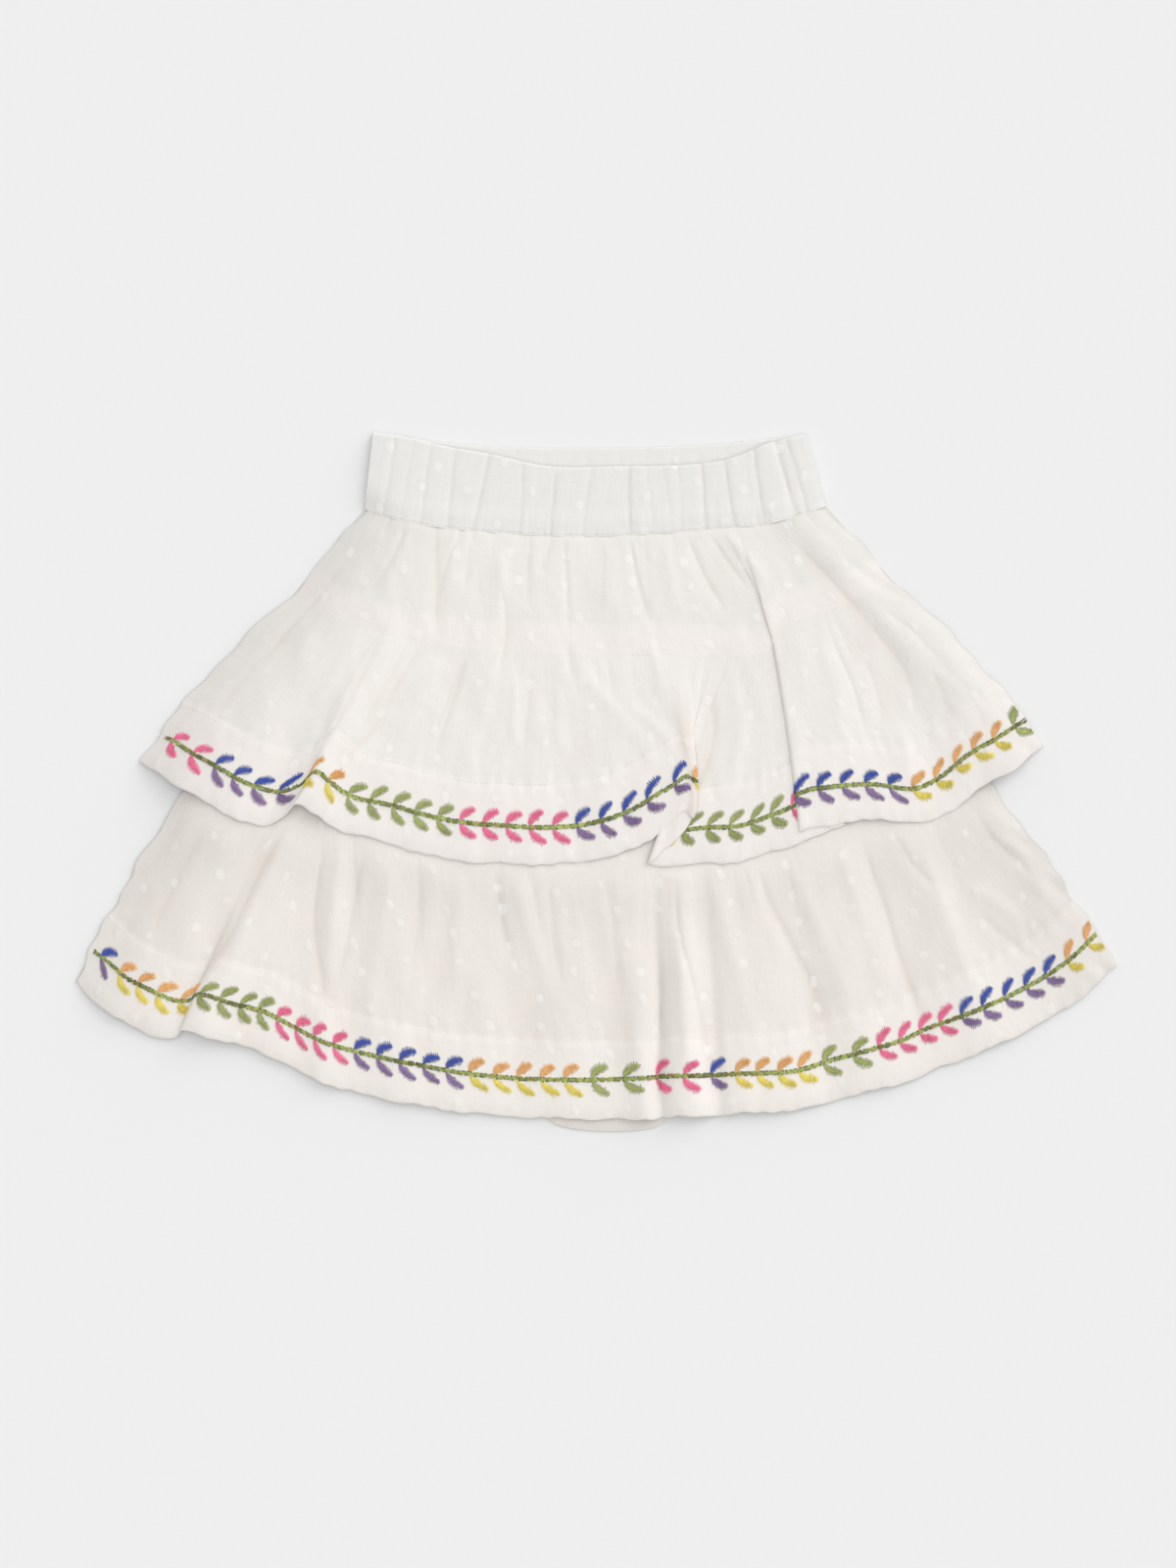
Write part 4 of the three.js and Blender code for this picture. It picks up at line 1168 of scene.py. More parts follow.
def sheet_mesh(name, cloth):
    """A grid laid over a cloth's surface and given the thickness of the cloth."""
    rows, columns = cloth.points.shape[:2]
    clear_selection()
    bpy.ops.mesh.primitive_grid_add(x_subdivisions=columns - 1, y_subdivisions=rows - 1, size=1)
    piece = bpy.context.object
    piece.name = piece.data.name = name
    if len(piece.data.vertices) != rows * columns:
        raise RuntimeError(f"{name}: the grid has {len(piece.data.vertices)} corners")
    up = slice(None, None, -1)  # the grid's rows run up from its lowest, the cloth's run down
    piece.data.vertices.foreach_set("co", (cloth.points[up] * MM).ravel())
    u = np.broadcast_to(cloth.along[None], (rows, columns))
    d = cloth.length[None] - cloth.down
    lay_uv(piece.data, np.stack([u[up], d[up]], -1).reshape(-1, 2) * MM)
    set_thickness(piece, cloth.thickness[up])
    paint(piece, cloth.backed[up], "backed")
    paint(piece, cloth.trough[up], "trough")
    bpy.ops.object.modifier_add(type="SOLIDIFY")
    wall = piece.modifiers[-1]
    wall.thickness = cloth.thickness.max() * MM
    wall.offset = 0.0
    wall.vertex_group = "thickness"
    wall.use_rim = True
    bpy.ops.object.modifier_apply(modifier=wall.name)
    piece.vertex_groups.clear()
    piece.data.update()
    bpy.ops.object.shade_smooth_by_angle(angle=math.radians(60))
    return piece


def finish_piece(piece, material, slot, node=None):
    """Gives a piece its finish and its body, and puts it in the place of a solid."""
    piece.data.materials.clear()
    piece.data.materials.append(material)
    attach(piece, BODY)
    if node:
        check_fit(piece, node)
        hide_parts(node)


def check_fit(piece, node):
    """Stops the script where a piece leaves the box of the solid that it stands for."""
    corners = np.empty(len(piece.data.vertices) * 3)
    piece.data.vertices.foreach_get("co", corners)
    corners = corners.reshape(-1, 3)
    low, high = (np.array(corner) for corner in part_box(node))
    room = FIT * (high - low).max()
    if (corners.min(0) < low - room).any() or (corners.max(0) > high + room).any():
        raise RuntimeError(f"{piece.name} leaves the box of {node}")


# Each sheet's slot, what it was cut to in metres, how it is held and what it rests on.
SHEETS = {
    "waistband_front": ("cotton_dobby", (0.33, 0.037), "gathered", ["waistband_back"]),
    "waistband_back": ("cotton_dobby", (0.33, 0.042), "gathered", ["floor"]),
    "yoke_front": (
        "cotton_dobby", (0.345, 0.066), "gathered", ["carrier_front", "shorts_front"]
    ),
    "yoke_back": ("cotton_dobby", (0.32, 0.062), "gathered", ["floor"]),
    "upper_tier_front": ("cotton_dobby", (0.623, 0.107), "gathered", ["lower_tier_front"]),
    "upper_tier_back": ("cotton_dobby", (0.46, 0.107), "gathered", ["floor"]),
    "lower_tier_front": ("cotton_dobby", (0.575, 0.144), "gathered", ["lower_tier_back"]),
    "lower_tier_back": ("cotton_dobby", (0.56, 0.145), "gathered", ["floor"]),
    "carrier_front": ("cotton_plain", (0.40, 0.085), "laid", ["shorts_front"]),
    "carrier_back": ("cotton_plain", (0.40, 0.085), "laid", ["upper_tier_back"]),
    "shorts_front": ("cotton_plain", (0.22, 0.136), "laid", ["shorts_back"]),
    "shorts_back": ("cotton_plain", (0.22, 0.136), "laid", ["carrier_back"]),
}
CLOTHS = {}
SURFACES = {
    "waistband_front": band_front,
    "waistband_back": band_back,
    "yoke_front": yoke_front,
    "yoke_back": yoke_back,
    "upper_tier_front": upper_tier_front,
    "upper_tier_back": upper_tier_back,
    "lower_tier_front": lower_tier_front,
    "lower_tier_back": lower_tier_back,
    "carrier_front": carrier(CARRIER_LIFTS["front"]),
    "carrier_back": carrier(CARRIER_LIFTS["back"]),
}


def cloth_of(node):
    """The surface of a piece, worked out once."""
    if node not in CLOTHS:
        CLOTHS[node] = SURFACES[node](measures())
    return CLOTHS[node]


def finish_cloth(piece, node):
    """Gives a sheet of cloth its finish."""
    slot, flat, held, rests_on = SHEETS[node]
    finish_piece(piece, cotton_of(node), slot, node)
    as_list(rests_on)


def cloth_pieces(*nodes):
    """Sheets of cloth in the place of solids."""
    for node in nodes:
        finish_cloth(sheet_mesh(node + "_cloth", cloth_of(node)), node)


def colours():
    return bpy.context.scene.skort_colours


# ================================================================ needlework
# The colour groups of each vine, from left to right, and how much of each one shows, to the
# nearest quarter: the folds hide the rest. A whole group has GROUP_PAIRS pairs of leaves.
UPPER_VINE = [
    ("pink", 0.5), ("blue", 0.75), ("orange", 0.5), ("green", 1), ("pink", 1), ("blue", 1),
    ("orange", 0.75), ("green", 1), ("pink", 0.75), ("blue", 1), ("orange", 1), ("green", 0.25),
]
LOWER_VINE = [
    ("blue", 0.25), ("orange", 0.75), ("green", 0.75), ("pink", 0.75), ("blue", 1),
    ("orange", 1), ("green", 0.5), ("pink", 0.5), ("blue", 0.25), ("orange", 0.75),
    ("green", 0.5), ("pink", 0.75), ("blue", 1), ("orange", 0.5),
]
GROUP_PAIRS = 5
BELOW_STEM = {"blue": "purple", "orange": "yellow"}  # the others are one colour on both sides
LOWER_VINE_MORE = 2.5  # how much higher over its hem the lower vine stands
VINE_SWAY = (0.6, 23.0)  # how far a vine wanders up and down, and over what length
LEAF_LINE = ((0.0, 0.8), (0.9, 5.4), (7.2, 6.4))  # along and up from the stem, as a bent line
LEAF_WIDTHS = table(
    "at half",
    (0, 0.6), (0.12, 1.1), (0.3, 1.9), (0.5, 2.4), (0.75, 2.6), (0.9, 2.4), (1, 2.0),
)
LEAF_STITCHES = 23
LEAF_TIP = (-0.95, -0.35, 0.25, 0.8)  # the turns of the stitches that fan out round a leaf's tip
STITCH_SLANT = 0.14  # how far a leaf's stitches lean to its tip, in radians
# Painted shade at both ends of each leaf stitch, where it goes down into the cloth: how much
# darker the very end is
SHADED_ENDS = {"pink": 0.35, "orange": 0.25, "yellow": 0.1, "green": 0.7}  # the rest 0.9
STEM_STITCH = 3.6
STEM_PITCH = 3.85


def strand_shape(sides):
    """A short round length of thread along X, one unit long and one thick, with blunt ends."""
    clear_selection()
    bpy.ops.mesh.primitive_cylinder_add(
        vertices=sides, radius=0.5, depth=1, end_fill_type="NGON", rotation=(0, math.pi / 2, 0)
    )
    thread_object = bpy.context.object
    bpy.ops.object.transform_apply(location=False, rotation=True, scale=False)
    bpy.ops.object.mode_set(mode="EDIT")
    for cut in (-0.3, 0.0, 0.3):
        bpy.ops.mesh.select_all(action="SELECT")
        bpy.ops.mesh.bisect(plane_co=(cut, 0, 0), plane_no=(1, 0, 0))
    bpy.ops.object.mode_set(mode="OBJECT")
    return taken(thread_object)


def disc_shape(sides, rings):
    """A flat round patch a unit across, with rings to shape it by."""
    clear_selection()
    bpy.ops.mesh.primitive_circle_add(vertices=sides, radius=0.5, fill_type="NGON")
    patch = bpy.context.object
    bpy.ops.object.mode_set(mode="EDIT")
    bpy.ops.mesh.select_all(action="SELECT")
    for _ in range(rings):
        bpy.ops.mesh.inset(thickness=0.5 / (rings + 0.6))
    bpy.ops.object.mode_set(mode="OBJECT")
    return taken(patch)


def taken(model):
    """The corners and faces of a modelled shape, which is then put away."""
    points = np.array([v.co[:] for v in model.data.vertices])
    faces = [tuple(face.vertices) for face in model.data.polygons]
    mesh = model.data
    bpy.data.objects.remove(model)
    bpy.data.meshes.remove(mesh)
    return points, faces


def joined(name, points, faces):
    """One mesh of many copies of a shape. points: (copies, corners, 3), in millimetres."""
    copies, corners = points.shape[:2]
    sizes = np.array([len(face) for face in faces])
    flat = np.concatenate([np.array(face) for face in faces])
    mesh = bpy.data.meshes.new(name)
    mesh.vertices.add(copies * corners)
    mesh.vertices.foreach_set("co", (points * MM).ravel())
    mesh.loops.add(copies * len(flat))
    index = flat[None] + corners * np.arange(copies)[:, None]
    mesh.loops.foreach_set("vertex_index", index.ravel().astype(np.int32))
    mesh.polygons.add(copies * len(faces))
    starts = np.concatenate([[0], np.cumsum(np.tile(sizes, copies))[:-1]])
    mesh.polygons.foreach_set("loop_start", starts.astype(np.int32))
    mesh.update(calc_edges=True)
    mesh.validate()
    piece = bpy.data.objects.new(name, mesh)
    bpy.context.scene.collection.objects.link(piece)
    clear_selection()
    piece.select_set(True)
    bpy.context.view_layer.objects.active = piece
    bpy.ops.object.shade_smooth_by_angle(angle=math.radians(70))
    return piece


def stitches(cloth, shape, start, end, width, lift, arch):
    """Strands laid on a cloth from start to end, each a pair (along, up) in millimetres.
    arch: how far the middle of a stitch stands over its ends."""
    middle, step = (start + end) / 2, end - start
    reach = np.linalg.norm(step, axis=1)
    along = step / reach[:, None]
    aside = np.stack([-along[:, 1], along[:, 0]], 1)
    x, y, z = shape[:, 0], shape[:, 1], shape[:, 2]
    taper = 1 - 0.45 * np.abs(2 * x) ** 4
    share = x[None] * reach[:, None]
    across = (y * taper)[None] * width[:, None]
    flat = middle[:, None] + share[..., None] * along[:, None] + across[..., None] * aside[:, None]
    rise = (z * taper)[None] * width[:, None] + lift[:, None]
    rise = rise + arch[:, None] * (1 - (2 * x[None]) ** 2)
    return cloth.lay(flat[..., 0], flat[..., 1], rise)


def bent(line, t):
    a, b, c = (np.array(p) for p in line)
    t = np.asarray(t)[..., None]
    return (1 - t) ** 2 * a + 2 * t * (1 - t) * b + t**2 * c


def vine_height(u, more, s):
    """How far a vine's stem stands over the hem, at places along the hem."""
    depth, length = VINE_SWAY
    return s.vine_rise + more + depth * np.sin(np.asarray(u) / length)


def vine_groups(cloth, shares):
    """The threads above and below the stem, the first and last place and the number of leaf
    pairs of each colour group, evenly spaced along the hem."""
    whole = cloth.along[-1] / sum(share for _, share in shares)
    groups, start = [], 0.0
    for name, share in shares:
        pairs = max(1, round(GROUP_PAIRS * share))
        pitch = whole * share / pairs
        first = start + pitch / 2
        last = first + (pairs - 1) * pitch
        groups.append((name, BELOW_STEM.get(name, name), first, last, pairs))
        start += whole * share
    return groups


def vine_leaves(groups, more, s, palette, seed):
    """Start, end, width, colour and painted end shade of every stitch of a vine's leaves: long
    stitches, whose ends stand out along both edges, short ones that fill the gaps between them,
    and a fan of them round the tip."""
    random = np.random.default_rng(seed)
    t = (np.arange(LEAF_STITCHES) + 0.5) / LEAF_STITCHES
    line = bent(LEAF_LINE, t)
    step = bent(LEAF_LINE, t + 0.01) - bent(LEAF_LINE, t - 0.01)
    ahead = np.arctan2(step[:, 1], step[:, 0])
    short = np.arange(LEAF_STITCHES) % 2 == 1
    half = np.interp(t, LEAF_WIDTHS["at"], LEAF_WIDTHS["half"]) * np.where(short, 0.5, 1.0)
    fan = ahead[-1] + np.array(LEAF_TIP)
    way = np.stack([np.cos(fan), np.sin(fan)], 1)
    middle = np.concatenate([line, line[-1:] + 0.7 * way])
    lean = np.concatenate([ahead + math.pi / 2 - STITCH_SLANT, fan])
    half = np.concatenate([half, np.full(len(fan), 1.0)])
    # the short stitches, which lie lower between the long ones, are painted darker: partly the
    # darker underlay that shows there, partly painted shade
    gap = np.concatenate([np.where(short, 0.72, 1.0), np.ones(len(fan))])
    thick = s.leaf_thread * np.concatenate([np.where(short, 0.8, 1.15), np.full(len(fan), 1.0)])
    count = len(half)
    found = []
    for upper, lower, first, last, pairs in groups:
        for u in np.linspace(first, last, pairs):
            height = vine_height(np.array([u - 3, u, u + 3]), more, s)
            slope = math.atan2(height[2] - height[0], 6)
            for side, name in ((1, upper), (-1, lower)):
                grown = random.uniform(0.98, 1.08)
                turn = random.normal(0, 0.06) + slope * side
                long = half * random.uniform(0.88, 1.1, count)
                reach = np.stack([np.cos(lean), np.sin(lean)], 1) * long[:, None]
                slip = random.normal(0, 0.08, (count, 1)) * reach
                spin = np.array([[np.cos(turn), np.sin(turn)], [-np.sin(turn), np.cos(turn)]])
                ends = [((middle + slip + way * reach) * grown) @ spin for way in (-1, 1)]
                base = np.array([u + random.normal(0, 0.15), height[1]])
                shade = random.uniform(0.95, 1.05) * random.uniform(0.88, 1.08, count)
                tone = np.array(palette[name])[None] * (shade * gap)[:, None]
                dark = np.full(count, SHADED_ENDS.get(name, 0.9))
                found.append([e * (1, side) + base for e in ends] + [thick, tone, dark])
    start, end, width, tone, dark = (np.concatenate(part) for part in zip(*found))
    return start, end, width * random.uniform(0.88, 1.12, len(start)), tone, dark


def inside(cloth, start, end, margin=0.4):
    """Which stitches lie wholly on their cloth."""
    u = np.concatenate([start[:, :1], end[:, :1]], 1)
    return (u.min(1) > margin) & (u.max(1) < cloth.along[-1] - margin)


def thread_piece(name, cloth, kind, start, end, width, tone, lift, arch, shaded_ends=0.25):
    """A piece of needlework: many stitches as one mesh, each with its own colour and with painted
    shade towards both of its ends, where it goes down into the cloth."""
    shape, faces = kind
    keep = inside(cloth, start, end)
    start, end, width, tone = start[keep], end[keep], width[keep], tone[keep]
    lift, arch, shaded_ends = (
        np.broadcast_to(value, keep.shape)[keep] for value in (lift, arch, shaded_ends)
    )
    points = stitches(cloth, shape, start, end, width, lift, arch)
    piece = joined(name, points, faces)
    # painted shade towards both ends of each stitch
    shade = 1 - shaded_ends[:, None] * np.abs(2 * shape[None, :, 0]) ** 2.2
    shades = np.ones((len(start), len(shape), 4))
    shades[..., :3] = np.clip(tone[:, None] * shade[..., None], 0, 1)
    paint(piece, shades, "thread", "FLOAT_COLOR")
    return piece


def vine_stem(cloth, groups, more, s, palette, seed):
    """Start, end, width, colour and height of every stitch of a vine's stem: blocks of strands
    along it, and specks of other threads in the gaps between them."""
    random = np.random.default_rng(seed)
    light, dark = np.array(palette["stem"]), np.array(palette["stem_dark"])
    pitch = s.stem_width / 4.2
    rows = []
    for u in np.arange(1.0, cloth.along[-1] - 1.0, STEM_PITCH):
        slow = 0.34 + 0.4 * math.sin(u / 31.0 + seed) * math.sin(u / 13.0 + 2.0)
        block = lerp(light, dark, clamp01(slow + random.normal(0, 0.28)))
        half = STEM_STITCH / 2 * random.uniform(0.92, 1.05)
        for lane in (-1.5, -0.5, 0.5, 1.5):
            reach = half * (0.84 if abs(lane) > 1 else 1.1)
            ends = u + np.array([-reach, reach]) + random.normal(0, 0.12, 2)
            height = vine_height(ends, more, s) + lane * pitch + (-0.12, 0.12)
            tone = block * random.uniform(0.86, 1.12)
            rows.append((ends[0], height[0], ends[1], height[1], 1.2 * pitch, *tone,
                         0.24 - 0.05 * abs(lane)))
        near = min(groups, key=lambda g: max(g[2] - u, u - g[3], 0))
        gap = u + STEM_PITCH / 2
        for lane, off in ((-1, 0), (1, 0), (-1.15, 1), (1.15, 1), (-1.15, 2.4), (1.15, 2.4)):
            if random.random() < (0.45 if off else 0.12):
                continue
            tone = np.array(random.choice([
                palette["stem_dark"], palette[near[0]], palette["speck"], palette["speck"],
                palette["bark"], palette["cream"],
            ]))
            at = gap + off + random.normal(0, 0.25)
            edge = vine_height(at, more, s) + lane * s.stem_width * 0.36
            rows.append((at - 0.15, edge - 0.38, at + 0.15, edge + 0.38, 0.7, *tone, 0.34))
    rows = np.array(rows)
    return rows[:, :2], rows[:, 2:4], rows[:, 4], rows[:, 5:8], rows[:, 8]


def row_of_stitches(cloth, d, long, pitch, seed, wander=0.1):
    """Running stitches along a cloth, d up from its hem."""
    random = np.random.default_rng(seed)
    u = np.arange(1.5, cloth.along[-1] - 1.5, pitch)
    u = u + random.normal(0, 0.08, len(u))
    rise = d + random.normal(0, wander, (2, len(u)))
    half = long / 2 * random.uniform(0.85, 1.1, len(u))
    return np.stack([u - half, rise[0]], 1), np.stack([u + half, rise[1]], 1)


def dot_spots(cloth, s, low, high, seed):
    """Where the woven dots of a cloth are, as pairs (along, up), staggered from row to row."""
    random = np.random.default_rng(seed)
    spots = []
    d, odd = low, 0
    while d < high:
        row = cloth.place(0, d)[0]
        line = cloth.read(cloth.points, np.full(len(cloth.along), float(row)),
                          np.arange(len(cloth.along), dtype=float))
        run = line_run(line)
        at = np.arange((0.3 + 0.5 * (odd % 2)) * s.dot_spacing, run[-1] - 3, s.dot_spacing)
        at = at + random.normal(0, 2.2, len(at))
        u = np.interp(at, run, cloth.along)
        spots.append(np.stack([u, d + random.normal(0, 1.8, len(u))], 1))
        d += s.dot_spacing * 0.5
        odd += 1
    spots = np.concatenate(spots)
    return spots[(spots[:, 1] > 2.5) & (spots[:, 0] > 3.5) & (spots[:, 0] < cloth.along[-1] - 3.5)]


def dot_piece(name, cloth, shape, spots, s, material, slot, seed, loud):
    """The woven dots of one cloth: low tufts, nearly square, that fade into the cloth."""
    points, faces = shape
    random = np.random.default_rng(seed)
    angle = np.arctan2(points[:, 1], points[:, 0])
    out = 2 * np.hypot(points[:, 0], points[:, 1])
    square = (np.abs(np.cos(angle)) ** 3 + np.abs(np.sin(angle)) ** 3) ** (-1 / 3)
    count = len(spots)
    wide = s.dot_width * random.uniform(0.78, 1.12, count)
    tall = s.dot_length * random.uniform(0.78, 1.12, count)
    ragged = random.uniform(0.9, 1.1, (count, len(points)))
    ragged[:, out < 0.9] = 1.0
    lean = random.normal(0, 0.12, count)[:, None]
    radius = (out * square)[None] * ragged * 0.62
    aside = [cloth.lay(spots[:, 0] + way, spots[:, 1], np.zeros(count)) for way in (-1, 1)]
    wide /= np.clip(np.linalg.norm(aside[1] - aside[0], axis=1) / 2, 0.3, 2)
    x, y = radius * np.cos(angle) * wide[:, None], radius * np.sin(angle) * tall[:, None]
    flat_u = spots[:, :1] + x + lean * y
    flat_d = np.maximum(spots[:, 1:] + y, 0.4)
    tuft = smoothstep(1.02, 0.45, out)
    rise = np.broadcast_to(0.08 * tuft - 0.1 * (out > 0.97) + 0.02, flat_u.shape)
    made = joined(name, cloth.lay(flat_u, flat_d, rise), faces)
    strength = loud * random.uniform(0.2, 1.0, (count, 1)) * tuft[None]
    paint(made, strength, "tuft")
    # the dots get the same painted side shade as the cloth under them
    paint(made, cloth.read(cloth.backed, *cloth.place(flat_u, flat_d)), "backed")
    lay_uv(made.data, np.stack([flat_u, flat_d], -1).reshape(-1, 2) * MM)
    finish_piece(made, material, slot)
    return made


# ================================================================ operators
SHAPES = {}


def shape_of(kind):
    """A stitch or a tuft, modelled once."""
    if not SHAPES:
        SHAPES["satin"] = strand_shape(5)
        SHAPES["sewn"] = strand_shape(5)
        SHAPES["tuft"] = disc_shape(14, 4)
    return SHAPES[kind]


# How far from its edge the yoke is two plies, in millimetres, and how softly that ends.
YOKE_DOUBLE = (15, 3.0)


def cotton_of(node, dots=None):
    """The finish of a cloth, or of the dots woven into it."""
    c, s = colours(), measures()
    part, face = node.rsplit("_", 1)
    plies = {
        "waistband": (c.cotton_band,),
        "yoke": (c.cotton, c.cotton_double, *YOKE_DOUBLE),
        "upper_tier": (c.cotton_upper, c.cotton_double, s.hem_band),
        "lower_tier": (c.cotton_low, c.cotton_low_double, s.hem_band),
    }.get(part, (c.cotton_inside,))
    # Its peek under the front hem has the darker inner colour, which is painted shade from the hem
    # over it.
    if node == "lower_tier_back":  # it shows its inner side
        plies = (c.cotton_inside,)
    kind = "cotton" if dots is None else "woven dots"
    return cotton(f"{kind} {part.replace('_', ' ')} {face}", *plies, dots=dots)


def palette():
    names = ("pink", "blue", "purple", "orange", "yellow", "green", "stem", "stem_dark", "sewing")
    made = {name: tuple(getattr(colours(), name)) for name in names}
    made["speck"] = linear(44, 44, 62)
    made["cream"] = linear(222, 214, 178)
    made["bark"] = linear(112, 72, 56)
    return made


# The lights, by name: how far each leans in degrees, its strength, and how wide it is in degrees.
LIGHTS = {"soft light above": (6, 1.34, 80), "key light": (68, 1.54, 46)}
LIGHT_AT = (0.6, 0.6, 1.5)  # a sun's place changes nothing
LIGHT_TURN = 44
SKY_STRENGTH = 0.50
CAMERA_AT = (-5.25 * MM, -1.0 * MM, 1.8889)  # it looks straight down
CAMERA_LENS = 85
FLOOR_SIZE = 9.0
FLOOR_DROP = 0.2 * MM  # how far the floor is below height 0


class SKORT_OT_stage(bpy.types.Operator):
    """Lay out the floor, the soft studio light and the camera straight above"""

    bl_idname = "skort.stage"
    bl_label = "Stage"

    def execute(self, context):
        clear_selection()
        bpy.ops.mesh.primitive_plane_add(size=FLOOR_SIZE, location=(0, 0, 0))
        floor = bpy.context.object
        floor.name = floor.data.name = "floor"
        bpy.ops.object.mode_set(mode="EDIT")
        bpy.ops.transform.translate(value=(0, 0, -FLOOR_DROP))
        bpy.ops.object.mode_set(mode="OBJECT")
        f = Finish("pale floor", 1.0, specular=0.0)
        f.skin.inputs["Base Color"].default_value = rgba(colours().floor)
        floor.data.materials.append(f.material)
        floor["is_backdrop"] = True
        world = bpy.data.worlds.new("studio")
        context.scene.world = world
        world.use_nodes = True
        sky = world.node_tree.nodes["Background"]
        sky.inputs["Color"].default_value = (1.0, 1.0, 1.0, 1.0)
        sky.inputs["Strength"].default_value = SKY_STRENGTH
        for name, (tilt, energy, angle) in LIGHTS.items():
            bpy.ops.object.light_add(type="SUN", location=LIGHT_AT)
            light = bpy.context.object
            light.name = name
            light.rotation_euler = (0, math.radians(tilt), math.radians(LIGHT_TURN))
            light.data.energy = energy
            light.data.angle = math.radians(angle)
        bpy.ops.object.camera_add(location=CAMERA_AT, rotation=(0, 0, 0))
        camera = bpy.context.object
        camera.name = "camera"
        camera.data.lens = CAMERA_LENS
        camera.data.sensor_width = 36
        camera.data.clip_start, camera.data.clip_end = 0.05, 40
        context.scene.camera = camera
        context.scene.view_settings.view_transform = "Standard"
        return {"FINISHED"}


class SKORT_OT_waistband(bpy.types.Operator):
    """Make the gathered waistband, a casing over its elastic, front and back"""

    bl_idname = "skort.waistband"
    bl_label = "Waistband"

    def execute(self, context):
        cloth_pieces("waistband_front", "waistband_back")
        return {"FINISHED"}


class SKORT_OT_yoke(bpy.types.Operator):
    """Make the yoke, gathered at the waist, front and back"""

    bl_idname = "skort.yoke"
    bl_label = "Yoke"

    def execute(self, context):
        cloth_pieces("yoke_front", "yoke_back")
        return {"FINISHED"}


class SKORT_OT_upper_tier(bpy.types.Operator):
    """Make the upper tier with its folds and its turned-up hem, front and back"""

    bl_idname = "skort.upper_tier"
    bl_label = "Upper tier"

    def execute(self, context):
        cloth_pieces("upper_tier_front", "upper_tier_back")
        return {"FINISHED"}


class SKORT_OT_lower_tier(bpy.types.Operator):
    """Make the lower tier with its folds and its turned-up hem, front and back"""

    bl_idname = "skort.lower_tier"
    bl_label = "Lower tier"

    def execute(self, context):
        cloth_pieces("lower_tier_front", "lower_tier_back")
        return {"FINISHED"}


class SKORT_OT_inner_pieces(bpy.types.Operator):
    """Make the plain plies inside: the carriers of the lower tier, and the shorts"""

    bl_idname = "skort.inner_pieces"
    bl_label = "Inner pieces"

    def execute(self, context):
        s = measures()
        cloth_pieces("carrier_front", "carrier_back")
        for face, level in SHORTS_LIFTS.items():
            halves = [
                sheet_mesh(f"shorts_{face}_{side}", shorts_leg(way, level)(s))
                for side, way in (("left", -1), ("right", 1))
            ]
            clear_selection()
            for half in halves:
                half.select_set(True)
            bpy.context.view_layer.objects.active = halves[0]
            bpy.ops.object.join()
            shorts = bpy.context.object
            shorts.name = shorts.data.name = f"shorts_{face}_cloth"
            bpy.ops.object.mode_set(mode="EDIT")
            bpy.ops.mesh.select_all(action="SELECT")
            bpy.ops.mesh.remove_doubles(threshold=0.02 * MM)
            bpy.ops.object.mode_set(mode="OBJECT")
            finish_cloth(shorts, f"shorts_{face}")
        return {"FINISHED"}


class SKORT_OT_woven_dots(bpy.types.Operator):
    """Raise the woven dots of the cotton on every piece that shows"""

    bl_idname = "skort.woven_dots"
    bl_label = "Woven dots"

    def execute(self, context):
        c, s = colours(), measures()
        for seed, (node, low, high, loud) in enumerate((
            ("upper_tier_front", 3, 102, 0.55), ("lower_tier_front", 4, 138, 0.6),
            ("yoke_front", 5, 56, 0.6), ("waistband_front", 5, 34, 0.6),
            ("waistband_back", 5, 38, 0.6),
        )):
            cloth = cloth_of(node)
            spots = dot_spots(cloth, s, low, high, 200 + seed)
            name = node.replace("_front", "") + "_dots"
            dot_piece(name, cloth, shape_of("tuft"), spots, s, cotton_of(node, c.dot),
                      "cotton_dobby", 300 + seed, loud)
        return {"FINISHED"}


class SKORT_OT_vines(bpy.types.Operator):
    """Embroider the vine of leaf pairs along the hem of each tier"""

    bl_idname = "skort.vines"
    bl_label = "Embroidered vines"

    def execute(self, context):
        s = measures()
        finish = thread("embroidery thread")
        vines = (("upper", UPPER_VINE, 0.0), ("lower", LOWER_VINE, LOWER_VINE_MORE))
        for seed, (tier, shares, more) in enumerate(vines):
            cloth = cloth_of(f"{tier}_tier_front")
            groups = vine_groups(cloth, shares)
            start, end, width, tone, dark = vine_leaves(
                groups, more, s, palette(), 400 + seed
            )
            leaves = thread_piece(f"{tier}_vine_leaves", cloth, shape_of("satin"), start, end,
                                  width, tone, 0.04, 0.22, dark)
            start, end, width, tone, lift = vine_stem(
                cloth, groups, more, s, palette(), 500 + seed
            )
            stem = thread_piece(f"{tier}_vine_stem", cloth, shape_of("satin"), start, end,
                                width, tone, lift, 0.12)
            for piece in (leaves, stem):
                finish_piece(piece, finish, "cotton_dobby")
        return {"FINISHED"}


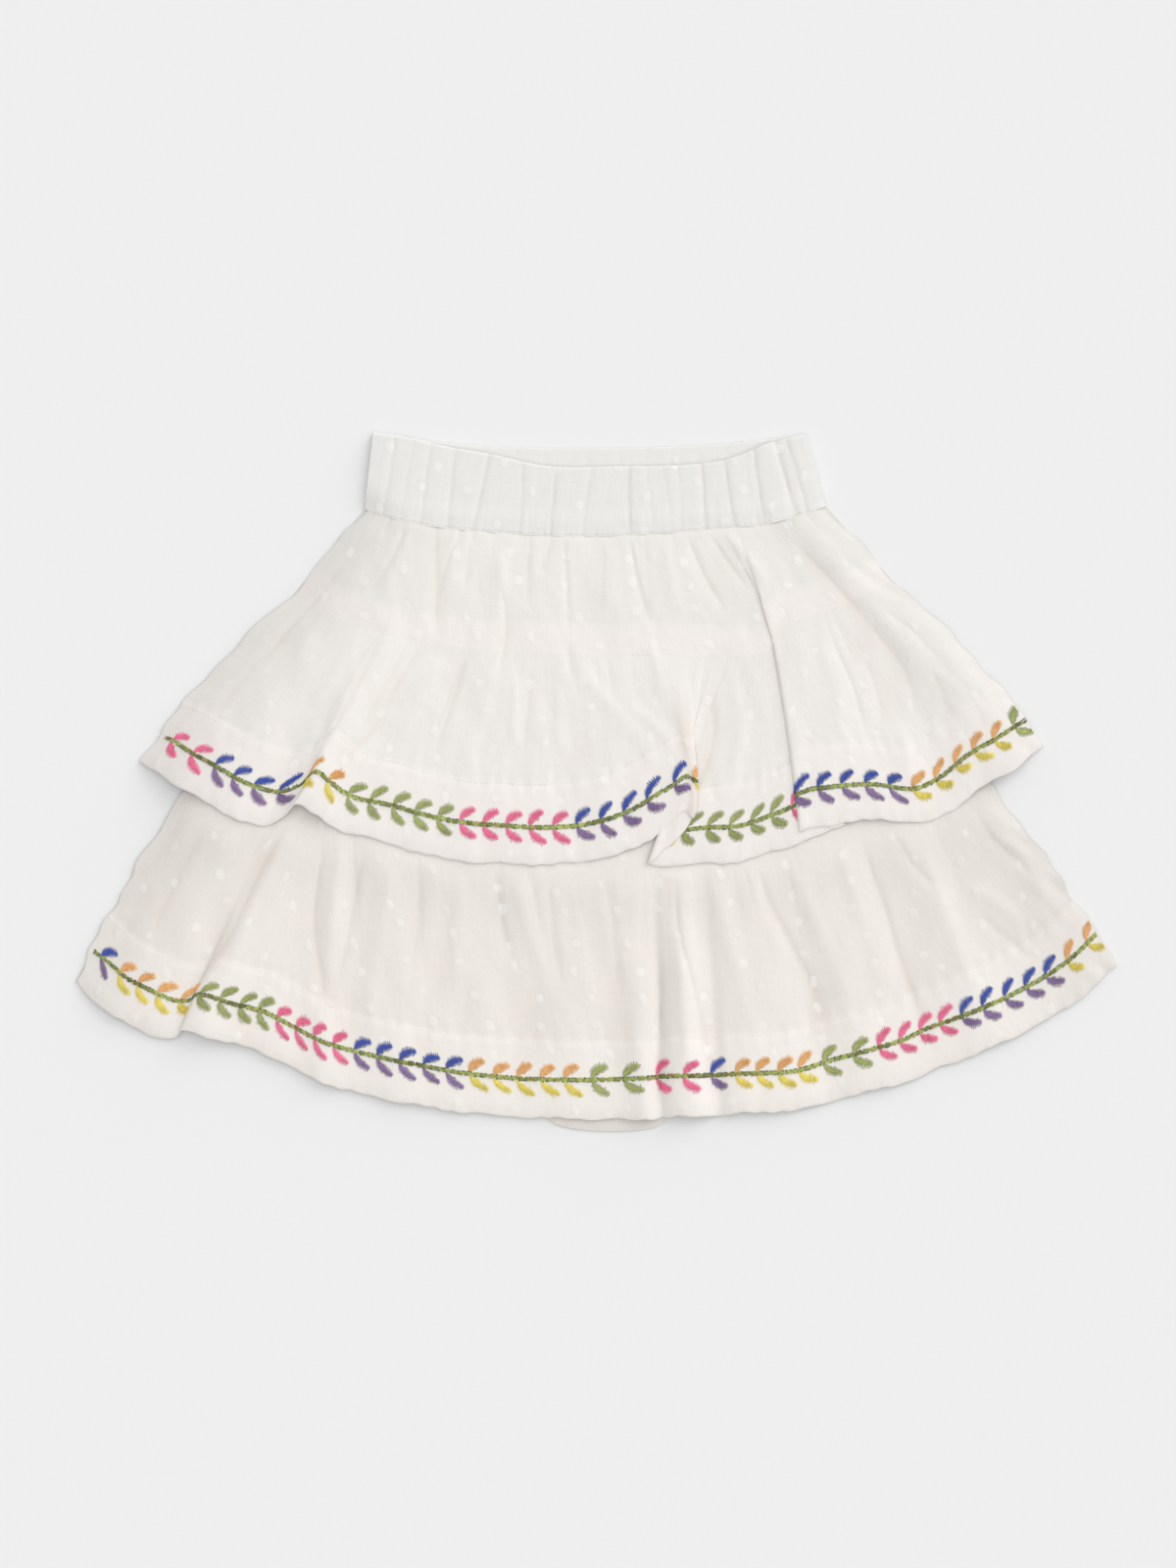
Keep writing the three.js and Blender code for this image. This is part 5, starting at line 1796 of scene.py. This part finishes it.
class SKORT_OT_sewing(bpy.types.Operator):
    """Sew the hems and the waistband's seam with running stitches"""

    bl_idname = "skort.sewing"
    bl_label = "Sewing"

    def execute(self, context):
        s = measures()
        finish = thread("sewing thread", rough=0.75, sheen=0.1)
        # Rows: millimetres up from the cloth's edge, then the length and pitch of its stitches,
        # as multiples of stitch_length.
        hem = ((s.hem_band, 1.0, 1.45), (1.4, 0.55, 1.6))
        rows = {
            "upper_tier_front": hem,
            "lower_tier_front": hem,
            "lower_tier_back": hem,
            "waistband_front": ((1.5, 0.9, 1.4),),
        }
        for seed, (node, lines) in enumerate(rows.items()):
            cloth = cloth_of(node)
            parts = []
            for k, (d, long, pitch) in enumerate(lines):
                long, pitch = long * s.stitch_length, pitch * s.stitch_length
                parts.append(row_of_stitches(cloth, d, long, pitch, 600 + 10 * seed + k))
            start, end = (np.concatenate(ends) for ends in zip(*parts))
            tone = np.tile(palette()["sewing"], (len(start), 1))
            width = np.full(len(start), s.sewing_thread)
            piece = thread_piece(f"{node}_stitches", cloth, shape_of("sewn"), start, end, width,
                                 tone, 0.02, 0.06, shaded_ends=0.15)
            finish_piece(piece, finish, "cotton_dobby")
        return {"FINISHED"}


class SKORT_PT_panel(bpy.types.Panel):
    """The skort's pieces, sizes and colours, in the sidebar of the 3D view"""

    bl_idname = "SKORT_PT_panel"
    bl_label = "Skort"
    bl_space_type = "VIEW_3D"
    bl_region_type = "UI"
    bl_category = "Skort"

    def draw(self, context):
        layout = self.layout
        for operator in OPERATORS:
            layout.operator(operator.bl_idname)
        for group in (context.scene.skort_sizes, context.scene.skort_colours):
            box = layout.box()
            for name in type(group).__annotations__:
                box.prop(group, name)


OPERATORS = (
    SKORT_OT_stage,
    SKORT_OT_waistband,
    SKORT_OT_yoke,
    SKORT_OT_upper_tier,
    SKORT_OT_lower_tier,
    SKORT_OT_inner_pieces,
    SKORT_OT_woven_dots,
    SKORT_OT_vines,
    SKORT_OT_sewing,
)
CLASSES = (SkortSizes, SkortColours, *OPERATORS, SKORT_PT_panel)


def register():
    for made in CLASSES:
        bpy.utils.register_class(made)
    bpy.types.Scene.skort_sizes = PointerProperty(type=SkortSizes)
    bpy.types.Scene.skort_colours = PointerProperty(type=SkortColours)


def unregister():
    del bpy.types.Scene.skort_colours
    del bpy.types.Scene.skort_sizes
    for made in reversed(CLASSES):
        bpy.utils.unregister_class(made)


def main():
    register()
    for operator in OPERATORS:
        getattr(bpy.ops.skort, operator.bl_idname.split(".")[1])()
    boxes = {"cad": CAD_BOX, "visual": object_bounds()}
    {name: [list(corner) for corner in box] for name, box in boxes.items()}


if __name__ == "__main__":
    main()
